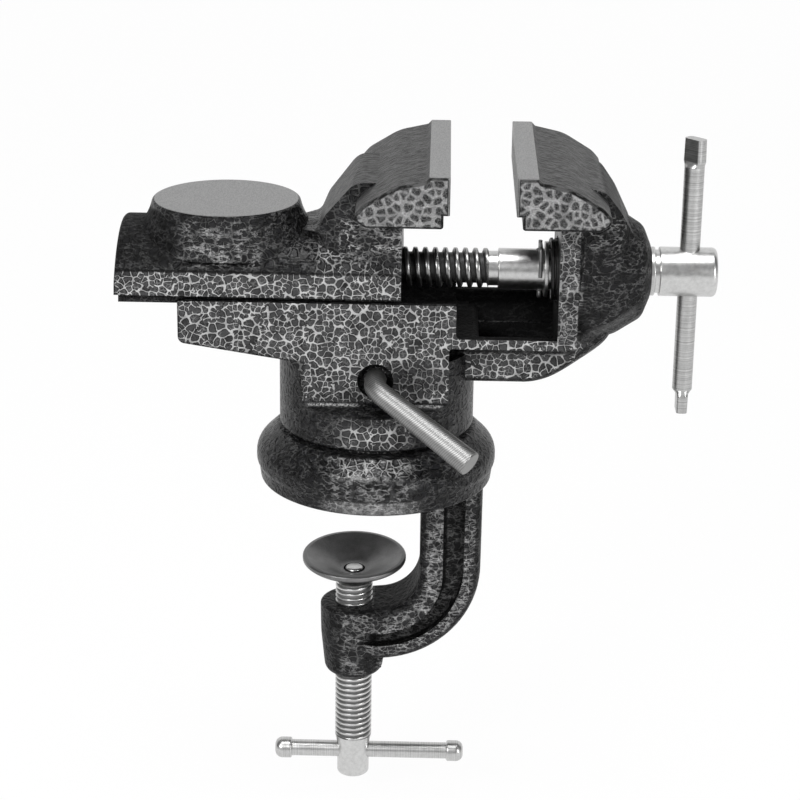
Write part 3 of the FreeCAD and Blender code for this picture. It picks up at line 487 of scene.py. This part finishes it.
def threaded_steel(colour, root_colour, name, centre, axis, root_r, crest_r, ends, crest=1.0):
    """Thread with crests of a given brightness and a darker colour in its roots, between two places along its
    axis (0 for X, 2 for Z)."""
    material, tree, shader = new_material(name)
    place = object_coords(tree)[0]
    parts = separated(tree, place)
    across = [parts[i] - centre[i] for i in range(3) if i != axis]
    radius = (across[0] ** 2 + across[1] ** 2) ** 0.5
    soft = 0.1 * MM
    in_thread = between(parts[axis], (ends[0] - soft, ends[0]), (ends[1] - soft, ends[1]))
    marks = noise(tree, place, 1.2 * MM, 4.0)
    fine = noise(tree, place, 0.25 * MM)
    tone = mix_colour(tree, (0.6 * marks + 0.4 * fine).step(0.25, 0.7), dimmed(colour, 0.78), colour)
    depth = crest_r - root_r
    in_root = (1 - radius.step(root_r + 0.35 * depth, crest_r - 0.12 * depth)) * in_thread
    tone = mix_colour(tree, (1 - crest) * in_thread, tone, BLACK)
    feed(tree, shader, Base_Color=mix_colour(tree, in_root, tone, root_colour), Metallic=1 - 0.6 * in_root)
    feed(tree, shader, Roughness=0.26 + 0.12 * marks + 0.15 * in_root, Normal=bump(tree, fine, 0.02 * MM, 0.5))
    return material


def dull_steel(colour, name, rough):
    """Pressed or blackened steel with an uneven, slightly oily face."""
    material, tree, shader = new_material(name)
    place = object_coords(tree)[0]
    cloud = noise(tree, place, 4.0 * MM, 4.0)
    fine = noise(tree, place, 0.3 * MM)
    tone = mix_colour(tree, (0.6 * cloud + 0.4 * fine).step(0.35, 0.65), dimmed(colour, 0.7), colour)
    feed(tree, shader, Base_Color=tone, Metallic=0.9, Roughness=rough + 0.15 * cloud)
    feed(tree, shader, Normal=bump(tree, fine, 0.02 * MM, 0.4))
    return material


# ---------------------------------------------------------------- places on the castings
class Spot:
    """Where a shaded point lies, in millimetres, and how its face leans: along_y is 1 where it looks
    forward or back, upward is 1 where it looks up."""

    def __init__(self, parts, lean):
        self.x, self.y, self.z = (part / MM for part in parts)
        self.along_y = abs(lean[1])
        self.upward = lean[2]


# All in millimetres. A box is two corners and the width of its soft edge; a pair is a soft edge.
ANVIL_X = -45.3
ANVIL_Z = 87.1
ANVIL_FLANK = ((70.5, 72.0), (84.5, 86.0))
JAW_FACE_LOW_Z = 92.2
FIXED_FACE_X = 40.05
OPEN_PIT = ((23.4, -19.7, 46.0), (53.7, 19.7, 62.0), 0.2)
PIT_SHELF = ((23.4, -12.2, 43.4), (53.7, 12.2, 62.0), 0.2)
PIT_WELL = ((23.4, -10.4, 37.0), (53.7, 10.4, 62.0), 0.3)
CHANNEL = ((-57.0, -18.0, 49.0), (24.0, 18.0, 62.0), 0.3)
FIXED_NECK = ((61.0, -22.0, 48.0), (82.0, 22.0, 95.0), 1.0)
NECK_SHADE = ((60.2, -22.0, 48.0), (82.0, 22.0, 95.0), 0.8)
NECK_WRINKLES = ((61.0, -22.0, 50.0), (80.0, 22.0, 87.0), 2.0)
NECK_BAND = ((53.0, -22.0, 50.0), (60.0, 22.0, 84.0), 1.0)
MOVING_NECK = ((-9.0, -19.0, 71.0), (19.0, 19.0, 84.0), 4.0)
ARM_GROOVE = ((0.0, -9.3, -62.0), (29.5, 9.3, -1.0), 0.3)
CLAMP_BOSS = ((-20.0, -12.0, -70.0), (5.0, 12.0, -43.0), 0.3)
ARM_TOP = (-1.0, 0.0)
WAIST_TOP = (10.0, 12.0)
UPPER_BAND = ((10.5, 12.0), (15.9, 16.3))
END_LINE = (0.25, 0.8)


def within(spot, box):
    """1 inside a box, 0 outside it."""
    low, high, soft = box
    mask = 1.0
    for part, first, last in zip((spot.x, spot.y, spot.z), low, high):
        mask = between(part, (first - soft, first), (last, last + soft)) * mask
    return mask


def between(value, rise, fall):
    """1 between two soft edges, 0 outside them."""
    return value.step(*rise) * (1 - value.step(*fall))


def near(value, place, edge):
    """1 at a place, 0 past a soft edge to either side of it."""
    return 1 - abs(value - place).step(*edge)


def left_end(spot, node_name):
    """Painted shade: a dark line at a node's left end."""
    left_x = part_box(node_name)[0].x / MM
    return 1 - (spot.x - left_x).step(*END_LINE)


def base_shade(spot):
    """Painted shade in the groove along the arm, and on the clamp's boss."""
    return (0.5 * within(spot, ARM_GROOVE)).most(0.25 * within(spot, CLAMP_BOSS))


def base_clear(spot, front):
    """Cells dimmed by painted shade in the flange's waist, on its foot and on the arm; a painted highlight
    shows them clear on its upper band's middle.
    """
    waist = between(spot.z, (4.0, 4.8), WAIST_TOP)
    arm = 1 - spot.z.step(*ARM_TOP)
    foot = (1 - spot.z.step(4.0, 4.8)) * (1 - arm)
    upper = between(spot.z, *UPPER_BAND) * (1 - abs(spot.x).step(7.0, 14.0))
    return (front * (1 - 0.9 * waist) * (1 - 0.7 * arm) * (1 - 0.3 * foot)).most(0.75 * upper)


def base_wrinkles_and_glints(spot, squiggle, fine):
    """Pale wrinkles round the middle of the flange and along the arm, where a painted highlight falls, and a
    painted highlight on the foot.
    """
    middle = 1 - abs(spot.x).step(8.0, 17.0)
    waist = between(spot.z, (4.5, 5.5), WAIST_TOP)
    foot = between(spot.z, (-0.5, 0.0), (4.0, 5.0))
    arm = (1 - spot.z.step(*ARM_TOP)) * spot.along_y.step(0.85, 0.99)
    flange = (0.35 * waist).most(0.75 * foot).most(0.65 * between(spot.z, *UPPER_BAND)) * middle
    return (squiggle * flange.most(0.6 * arm)).most(0.28 * foot * middle * fine)


def jaw_metal(spot, node_name, face_x):
    """Ground strip on top of a jaw, and the jaw's face."""
    top_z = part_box(node_name)[1].z / MM
    strip = spot.z.step(top_z - 0.25, top_z - 0.1)
    return strip.most(near(spot.x, face_x, (0.5, 0.6)) * spot.z.step(JAW_FACE_LOW_Z, JAW_FACE_LOW_Z + 0.1))


def body_metal(spot):
    return jaw_metal(spot, "vise_body", FIXED_FACE_X)


def body_level(spot):
    """Upper side of the fixed jaw's wings."""
    return spot.upward.step(0.05, 0.5) * spot.z.step(87.0, 90.0)


def inside_body(spot):
    """The open pit, and the channel under the slide."""
    pit = within(spot, OPEN_PIT).most(within(spot, PIT_WELL)).most(within(spot, PIT_SHELF))
    return pit.most(within(spot, CHANNEL))


def body_shade(spot):
    """Painted shade in the body's inside and on its neck, and dark lines at its left end and along its
    sloping underside.
    """
    above_slope = spot.z + 0.156 * spot.x
    low_edge = (1 - above_slope.step(39.2, 39.8)) * (1 - spot.x.step(-22.0, -20.0))
    edge = left_end(spot, "vise_body").most(low_edge) * spot.along_y.step(0.5, 0.9)
    return (0.9 * inside_body(spot)).most(0.3 * within(spot, NECK_SHADE)).most(0.8 * edge)


def body_clear(spot, front):
    """Painted shade dims the cells on the neck and its band, right of the lever's hole and on the rings of
    the socket.
    """
    from_hole = (((spot.x - 12.0) / 11.0) ** 2 + ((spot.z - 38.0) / 6.0) ** 2) ** 0.5
    shade = (1 - from_hole.step(0.5, 1.1)) * (1 - spot.y.step(0.0, 1.0))
    rings = (1 - spot.z.step(18.5, 20.0)).most(spot.z.step(24.5, 26.5)) * (1 - spot.z.step(29.0, 29.4))
    faint_neck = (1 - 0.95 * within(spot, FIXED_NECK)) * (1 - 0.4 * within(spot, NECK_BAND))
    return front * faint_neck * (1 - 0.6 * shade) * (1 - 0.75 * rings) * (1 - inside_body(spot))


def body_wrinkles_and_glints(spot, squiggle, fine):
    """A painted highlight on the sill over the socket, a painted reflection behind the rim, and wrinkles on
    the neck and its band, paler under the wing as a painted highlight.
    """
    sill = near(spot.z, 29.7, (0.15, 0.45)) * between(abs(spot.x), (4.0, 6.0), (19.0, 21.0))
    above_sheen = spot.z - 0.66 * spot.x
    sheen = near(above_sheen, 8.2, (0.6, 2.4)) * between(spot.x, (57.0, 61.0), (75.0, 79.0))
    glints = (0.75 * sill * fine.step(0.35, 0.6)).most(0.3 * sheen * fine)
    under_wing = spot.z.step(76.0, 82.0) * (1 - spot.x.step(70.0, 74.0))
    neck = within(spot, NECK_WRINKLES) * (0.12 + 0.5 * under_wing)
    band = 0.3 * within(spot, NECK_BAND) * spot.along_y.step(0.8, 0.98)
    return glints.most(squiggle * neck.most(band))


def slide_metal(spot):
    """The moving jaw's bare metal and the anvil's top."""
    on_anvil = near(spot.z, ANVIL_Z, (0.05, 0.2)) * spot.upward.step(0.9, 0.95)
    moving_face_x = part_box("sliding_jaw")[1].x / MM
    return jaw_metal(spot, "sliding_jaw", moving_face_x).most(on_anvil)


def slide_level(spot):
    """Upper side of the moving jaw's wings and of the arch that rises to them."""
    return spot.upward.step(0.05, 0.4) * spot.z.step(80.5, 82.5) * spot.x.step(-18.0, -17.0)


def slide_shade(spot):
    """Painted shade: dark lines at the slide's left end and over its shoulder, and the left of the anvil's
    flank darkened.
    """
    shoulder = near(spot.z, 69.9, (0.25, 0.6))
    flank_left = between(spot.z, *ANVIL_FLANK) * (1 - (spot.x - ANVIL_X).step(-18.0, -10.0))
    return (0.8 * left_end(spot, "sliding_jaw")).most(0.8 * shoulder).most(0.6 * flank_left)


def slide_clear(spot, front):
    """Painted shade dims the cells above the shoulder, on the tongue and on the neck; a painted highlight
    shows them clear on the arch before the jaw.
    """
    right_of_anvil = spot.x.step(-20.0, -19.0)
    flank = spot.z.step(70.5, 71.5) * (1 - right_of_anvil)
    neck = spot.z.step(70.2, 71.0) * (1 - abs(spot.y).step(19.0, 20.0)) * right_of_anvil
    tongue = 1 - spot.z.step(62.3, 62.4)
    arch = spot.x.step(-19.0, -15.0) * (1 - spot.z.step(79.0, 80.5)) * spot.upward.step(0.2, 0.4)
    return (front * (1 - 0.8 * flank) * (1 - 0.95 * tongue) * (1 - 0.8 * neck)).most(0.7 * arch)


def slide_wrinkles_and_glints(spot, squiggle, fine):
    """Wrinkles on the anvil's flank, brightest in its middle as a painted highlight, and in level rows on the
    moving jaw's neck.
    """
    middle = near(spot.x, ANVIL_X, (7.0, 15.0))
    flank = between(spot.z, *ANVIL_FLANK) * (0.02 + 0.6 * middle ** 2)
    row = 0.5 + 0.5 * ((spot.z - 80.0) * (2 * math.pi / 3.4)).sine()
    neck = within(spot, MOVING_NECK) * spot.along_y.step(0.8, 0.95)
    return squiggle * flank.most(neck * (0.25 + (0.2 + 0.6 * row) * spot.z.step(73.0, 77.0)))


def dress(node_name, material):
    """Gives a CAD node its material."""
    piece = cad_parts[node_name]
    piece.data.materials.clear()
    piece.data.materials.append(material)


# ---------------------------------------------------------------- meshes
def mesh_piece(name, points, faces):
    """Object at the origin from arrays of points and of faces, its doubles merged and faces turned out."""
    mesh = bpy.data.meshes.new(name)
    mesh.from_pydata(points.tolist(), [], faces.tolist())
    piece = bpy.data.objects.new(name, mesh)
    bpy.context.scene.collection.objects.link(piece)
    clean(mesh)
    return piece


def clean(mesh, merge=1e-6):
    """Merges doubles, fills open rings and turns the faces outwards."""
    work = bmesh.new()
    work.from_mesh(mesh)
    bmesh.ops.remove_doubles(work, verts=work.verts, dist=merge)
    bmesh.ops.dissolve_degenerate(work, dist=merge, edges=work.edges)
    rims = [edge for edge in work.edges if edge.is_boundary]
    if rims:
        bmesh.ops.holes_fill(work, edges=rims, sides=0)
    bmesh.ops.recalc_face_normals(work, faces=work.faces)
    work.to_mesh(mesh)
    work.free()
    mesh.polygons.foreach_set("use_smooth", np.ones(len(mesh.polygons), bool))
    mesh.set_sharp_from_angle(angle=SHARP_ANGLE)


def thread_surface(start, end, pitch, crest_r, depth, end_r, steps=72):
    """Threaded rod along +X. Point (i, j) lies at angle a = 2 pi i / steps, at x = x_j + pitch i / steps,
    with the radius of the profile's corner j; rows past the last angle meet the row one pitch further on.
    Points past an end are drawn back to it at the end's radius, and a flat cap closes it."""
    flat = 0.36 * pitch
    slope = (pitch - 2 * flat) / 2
    rounding = 0.12 * flat
    share_x = np.array([0.0, rounding, flat - rounding, flat, flat + slope, pitch - slope]) / pitch
    root_r = crest_r - depth
    edge = 0.06 * depth
    share_r = np.array([crest_r - edge, crest_r, crest_r, crest_r - edge, root_r, root_r])
    turns = int(math.ceil((end - start) / pitch)) + 2
    corner_x = (start - pitch + pitch * (np.arange(turns)[:, None] + share_x[None, :])).ravel()
    corner_r = np.tile(share_r, turns)
    per_turn = len(share_x)
    angle_index = np.arange(steps)
    x = corner_x[None, :] + pitch * angle_index[:, None] / steps
    r = np.broadcast_to(corner_r, x.shape).copy()
    outside = (x <= start) | (x >= end)
    r[outside] = end_r
    x = np.clip(x, start, end)
    angle = (2 * np.pi * angle_index / steps)[:, None]
    points = np.stack([x, r * np.cos(angle), r * np.sin(angle)], axis=-1)
    columns = x.shape[1]
    index = np.arange(steps * columns).reshape(steps, columns)
    corners = [index[:-1, :-1], index[:-1, 1:], index[1:, 1:], index[1:, :-1]]
    inner = np.stack(corners, axis=-1).reshape(-1, 4)
    last = index[-1, :-per_turn]
    first = index[0, per_turn:]
    seam = np.stack([last[:-1], last[1:], first[1:], first[:-1]], axis=-1)
    return points.reshape(-1, 3), np.concatenate([inner, seam])


def along(points, origin, axis):
    """Turns points made along +X to run along the given axis (0 for X, 2 for Z) from origin."""
    turned = points if axis == 0 else points[:, [2, 1, 0]] * np.array([1.0, -1.0, 1.0])
    return turned + np.asarray(origin)


def corner_points(node_name):
    """Array of a CAD node's mesh points."""
    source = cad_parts[node_name].data
    points = np.empty(len(source.vertices) * 3, np.float32)
    source.vertices.foreach_get("co", points)
    return points.reshape(-1, 3).astype(float)


def kept_part(node_name, keep):
    """Copy of a CAD node's mesh with only the faces whose corners keep() accepts."""
    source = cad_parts[node_name].data
    points = corner_points(node_name)
    corners = np.empty(len(source.polygons) * 3, np.int32)
    source.polygons.foreach_get("vertices", corners)
    corners = corners.reshape(-1, 3)
    wanted = keep(points)[corners].all(axis=1)
    return points, corners[wanted]


def reach(points, centre, axis, radius, slack=0.01 * MM):
    """First and last place along an axis (0 for X, 2 for Z) of the points that lie at a radius from it."""
    across = [i for i in range(3) if i != axis]
    distance = np.hypot(points[:, across[0]] - centre[across[0]], points[:, across[1]] - centre[across[1]])
    on_it = points[np.abs(distance - radius) < slack, axis]
    return float(on_it.min()), float(on_it.max())


def joined(name, shells):
    """One object of several closed shells."""
    made = [mesh_piece(f"{name}_{i}", points, faces) for i, (points, faces) in enumerate(shells)]
    work = bmesh.new()
    for piece in made:
        work.from_mesh(piece.data)
    mesh = bpy.data.meshes.new(name)
    work.to_mesh(mesh)
    work.free()
    for piece in made:
        bpy.data.objects.remove(piece)
    mesh.set_sharp_from_angle(angle=SHARP_ANGLE)
    result = bpy.data.objects.new(name, mesh)
    bpy.context.scene.collection.objects.link(result)
    return result


# ---------------------------------------------------------------- operators
class VISE_OT_castings(bpy.types.Operator):
    """Paints the base, the body and the sliding jaw, with their ground faces bare"""

    bl_idname = "vise.castings"
    bl_label = "Paint castings"

    def execute(self, context):
        paint = context.scene.vise_paint
        steel = context.scene.vise_steel
        dress("clamp_base", hammertone(
            paint, steel, "base_paint", painted_shade=base_shade, clear=base_clear, wrinkles_and_glints=base_wrinkles_and_glints
        ))
        dress("vise_body", hammertone(
            paint, steel, "body_paint", body_metal, body_level, body_shade, body_clear, body_wrinkles_and_glints
        ))
        dress("sliding_jaw", hammertone(
            paint, steel, "jaw_paint", slide_metal, slide_level, slide_shade, slide_clear, slide_wrinkles_and_glints
        ))
        return {"FINISHED"}


class VISE_OT_lead_screw(bpy.types.Operator):
    """Makes the lead screw with its trapezoidal thread and drilled head"""

    bl_idname = "vise.lead_screw"
    bl_label = "Make lead screw"

    def execute(self, context):
        sizes = context.scene.vise_threads
        steel = context.scene.vise_steel
        low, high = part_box("lead_screw")
        centre = (0.0, 0.0, (low.z + high.z) / 2)
        thread_end = reach(corner_points("lead_screw"), centre, 0, sizes.relief_r)[0]
        points, faces = thread_surface(
            low.x, thread_end, sizes.lead_pitch, sizes.lead_r, sizes.lead_depth, sizes.relief_r
        )
        thread = (along(points, centre, 0), faces)
        shank = kept_part("lead_screw", lambda p: p[:, 0] > thread_end - OVERLAP)
        piece = joined("lead_screw_turned", [thread, shank])
        root_r = sizes.lead_r - sizes.lead_depth
        ends = (low.x, thread_end)
        dull_crest = 0.55
        piece.data.materials.append(threaded_steel(
            steel.bright, steel.root_colour, "screw_steel", centre, 0, root_r, sizes.lead_r, ends, dull_crest
        ))
        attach(piece, "screw")
        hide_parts("lead_screw")
        return {"FINISHED"}


class VISE_OT_clamp_screw(bpy.types.Operator):
    """Makes the clamp screw with its thread, its riveted pin and its drilled end"""

    bl_idname = "vise.clamp_screw"
    bl_label = "Make clamp screw"

    def execute(self, context):
        sizes = context.scene.vise_threads
        steel = context.scene.vise_steel
        low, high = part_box("clamp_screw")
        centre = ((low.x + high.x) / 2, 0.0, 0.0)
        crest_r = (high.x - low.x) / 2
        root_r = crest_r - sizes.clamp_depth
        thread_low, thread_high = reach(corner_points("clamp_screw"), centre, 2, crest_r)
        points, faces = thread_surface(
            thread_low, thread_high, sizes.clamp_pitch, crest_r, sizes.clamp_depth, root_r
        )
        thread = (along(points, centre, 2), faces)
        foot = kept_part("clamp_screw", lambda p: p[:, 2] < thread_low + OVERLAP)
        tip = kept_part("clamp_screw", lambda p: p[:, 2] > thread_high - OVERLAP)
        piece = joined("clamp_screw_turned", [thread, foot, tip])
        ends = (thread_low, thread_high)
        # darker colour for the roots of the thread
        darkening = dimmed(steel.bright, 0.3)
        piece.data.materials.append(
            threaded_steel(steel.bright, darkening, "spindle_steel", centre, 2, root_r, crest_r, ends)
        )
        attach(piece, "clamp_spindle")
        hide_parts("clamp_screw")
        return {"FINISHED"}


class VISE_OT_bars(bpy.types.Operator):
    """Gives the two sliding bars and the lock lever their steel"""

    bl_idname = "vise.bars"
    bl_label = "Finish bars and lever"

    def execute(self, context):
        bright = context.scene.vise_steel.bright
        along_x = turned_steel(bright, "cross_bar_steel", (1, 0, 0))
        dress("lead_bar", turned_steel(
            dimmed(bright, 0.85), "upright_bar_steel", (0, 0, 1), ring=0.5 * MM, rough=0.3
        ))
        for name in ("clamp_bar", "clamp_bar_cap_left", "clamp_bar_cap_right"):
            dress(name, along_x)
        lever_direction = (0.76, -0.49, -0.42)
        hatch_tilt = (-0.15, 0.0, -0.3)
        hatch_pitch = 0.7 * MM
        dress("lock_lever", hatched_steel(
            dimmed(bright, 0.56), "lever_steel", lever_direction, hatch_tilt, hatch_pitch
        ))
        return {"FINISHED"}


class VISE_OT_small_parts(bpy.types.Operator):
    """Gives the pad, washers, cotter pin and spring their metals"""

    bl_idname = "vise.small_parts"
    bl_label = "Finish small parts"

    def execute(self, context):
        steel = context.scene.vise_steel
        dress("clamp_pad", dull_steel(steel.pressed, "pad_steel", 0.34))
        dress("thrust_washer", turned_steel(steel.bright, "washer_steel", (1, 0, 0)))
        dress("spring_washer", turned_steel(steel.bright, "inner_washer_steel", (1, 0, 0)))
        dress("screw_spring", dull_steel(steel.blackened, "spring_black", 0.35))
        dress("cotter_pin", dull_steel(dimmed(steel.blackened, 4), "pin_grey", 0.4))
        return {"FINISHED"}


class VISE_OT_stage(bpy.types.Operator):
    """Sets up the white floor and backdrop, the lamps and the camera"""

    bl_idname = "vise.stage"
    bl_label = "Set up stage"

    def execute(self, context):
        settings = context.scene.vise_stage
        floor_z = cad_bounds[0][2] - settings.floor_gap
        make_sweep(settings, floor_z)
        make_world(context.scene)
        make_lamps()
        make_camera(context.scene, settings)
        context.scene.view_settings.view_transform = "Standard"
        return {"FINISHED"}


def make_sweep(settings, floor_z):
    """Floor and backdrop: one sheet, level in front, swept up behind along a quarter circle. A point of it is
    (x, y(s), z(s)) with s the length along the profile."""
    half_width = 4.0
    front_y = -4.0
    back_y = 2.0
    bend_r = 1.0
    height = 4.0
    arc = np.linspace(0, np.pi / 2, 17)
    y = np.concatenate([[front_y], back_y - bend_r + bend_r * np.sin(arc), [back_y]])
    z = np.concatenate([[0.0], bend_r * (1 - np.cos(arc)), [height]]) + floor_z
    x = np.array([-half_width, half_width])
    grid = np.stack(np.broadcast_arrays(x[None, :], y[:, None], z[:, None]), axis=-1)
    index = np.arange(grid.shape[0] * 2).reshape(-1, 2)
    faces = np.stack([index[:-1, 0], index[:-1, 1], index[1:, 1], index[1:, 0]], axis=-1)
    mesh = bpy.data.meshes.new("sweep")
    mesh.from_pydata(grid.reshape(-1, 3).tolist(), [], faces.tolist())
    mesh.polygons.foreach_set("use_smooth", np.ones(len(mesh.polygons), bool))
    sweep = bpy.data.objects.new("sweep", mesh)
    bpy.context.scene.collection.objects.link(sweep)
    mesh.materials.append(backdrop_paper(settings.white))


def backdrop_paper(colour):
    """Matte white paper, which the camera and mirrors see nearly at full white with a little of its shade."""
    white_share = 0.97
    material, tree, shader = new_material("backdrop_paper")
    feed(tree, shader, Base_Color=dimmed(colour, 0.95), Roughness=0.9)
    path = tree.nodes.new("ShaderNodeLightPath")
    seen = Wire(tree, path.outputs["Is Camera Ray"])
    for name in ("Is Glossy Ray", "Is Transmission Ray"):
        seen = seen.most(Wire(tree, path.outputs[name]))
    glow = node(tree, "ShaderNodeEmission", None, {"Color": colour, "Strength": 1.0})[0]
    both = tree.nodes.new("ShaderNodeMixShader")
    tree.links.new((seen * white_share).socket, both.inputs[0])
    tree.links.new(shader.outputs[0], both.inputs[1])
    tree.links.new(glow.socket, both.inputs[2])
    tree.links.new(both.outputs[0], tree.nodes["Material Output"].inputs["Surface"])
    return material


def make_world(scene):
    """Weak even light from all round."""
    world = bpy.data.worlds.new("studio")
    scene.world = world
    world.use_nodes = True
    background = world.node_tree.nodes["Background"]
    background.inputs["Color"].default_value = (1.0, 1.0, 1.0, 1.0)
    background.inputs["Strength"].default_value = 0.14


def make_lamps():
    """Soft boxes: a key at the upper left, a fill at the right and one above, with size and power."""
    aim = Vector((0.01, 0.0, 0.03))
    boxes = (
        ("key", (-0.7, -1.2, 0.8), 0.55, 16.0),
        ("fill", (1.0, -1.1, 0.4), 0.45, 10.0),
        ("top", (0.0, -0.25, 1.35), 0.6, 11.0),
    )
    for name, place, size, power in boxes:
        lamp = bpy.data.lights.new(name, "AREA")
        lamp.shape = "SQUARE"
        lamp.size = size
        lamp.energy = power
        holder = bpy.data.objects.new(name, lamp)
        holder.location = place
        holder.rotation_euler = (aim - Vector(place)).to_track_quat("-Z", "Y").to_euler()
        bpy.context.scene.collection.objects.link(holder)


def make_camera(scene, settings):
    """Camera on a ray from its target, turned by yaw and pitch and then rolled about that ray."""
    turn, look, roll = settings.yaw, settings.pitch, settings.roll
    back = Vector((math.sin(turn) * math.cos(look), -math.cos(turn) * math.cos(look), math.sin(look)))
    level = Vector((math.cos(turn), math.sin(turn), 0.0))
    rise = back.cross(level)
    right = math.cos(roll) * level + math.sin(roll) * rise
    up = math.cos(roll) * rise - math.sin(roll) * level
    place = Vector(settings.target) + settings.distance * back
    data = bpy.data.cameras.new("camera")
    data.sensor_width = 36.0
    data.lens = settings.lens
    data.shift_x = settings.shift_x
    data.shift_y = settings.shift_y
    data.clip_start = 0.01
    camera = bpy.data.objects.new("camera", data)
    camera.matrix_world = Matrix.Translation(place) @ Matrix((right, up, back)).transposed().to_4x4()
    scene.collection.objects.link(camera)
    scene.camera = camera


class VIEW3D_PT_vise(bpy.types.Panel):
    """Lists the vise's operators and sizes."""

    bl_label = "Vise"
    bl_space_type = "VIEW_3D"
    bl_region_type = "UI"
    bl_category = "Vise"

    def draw(self, context):
        layout = self.layout
        for settings in ("vise_paint", "vise_steel", "vise_threads", "vise_stage"):
            group = getattr(context.scene, settings)
            box = layout.box()
            for name in group.__annotations__:
                box.prop(group, name)
        for operator in OPERATORS:
            layout.operator(operator.bl_idname)


GROUPS = (PaintSettings, SteelSettings, ThreadSettings, StageSettings)
OPERATORS = (
    VISE_OT_castings,
    VISE_OT_lead_screw,
    VISE_OT_clamp_screw,
    VISE_OT_bars,
    VISE_OT_small_parts,
    VISE_OT_stage,
)


def register():
    for kind in GROUPS + OPERATORS + (VIEW3D_PT_vise,):
        bpy.utils.register_class(kind)
    bpy.types.Scene.vise_paint = bpy.props.PointerProperty(type=PaintSettings)
    bpy.types.Scene.vise_steel = bpy.props.PointerProperty(type=SteelSettings)
    bpy.types.Scene.vise_threads = bpy.props.PointerProperty(type=ThreadSettings)
    bpy.types.Scene.vise_stage = bpy.props.PointerProperty(type=StageSettings)


def unregister():
    for name in ("vise_stage", "vise_threads", "vise_steel", "vise_paint"):
        delattr(bpy.types.Scene, name)
    for kind in reversed(GROUPS + OPERATORS + (VIEW3D_PT_vise,)):
        bpy.utils.unregister_class(kind)


def main():
    register()
    bpy.ops.vise.castings()
    bpy.ops.vise.lead_screw()
    bpy.ops.vise.clamp_screw()
    bpy.ops.vise.bars()
    bpy.ops.vise.small_parts()
    bpy.ops.vise.stage()


if __name__ == "__main__":
    main()
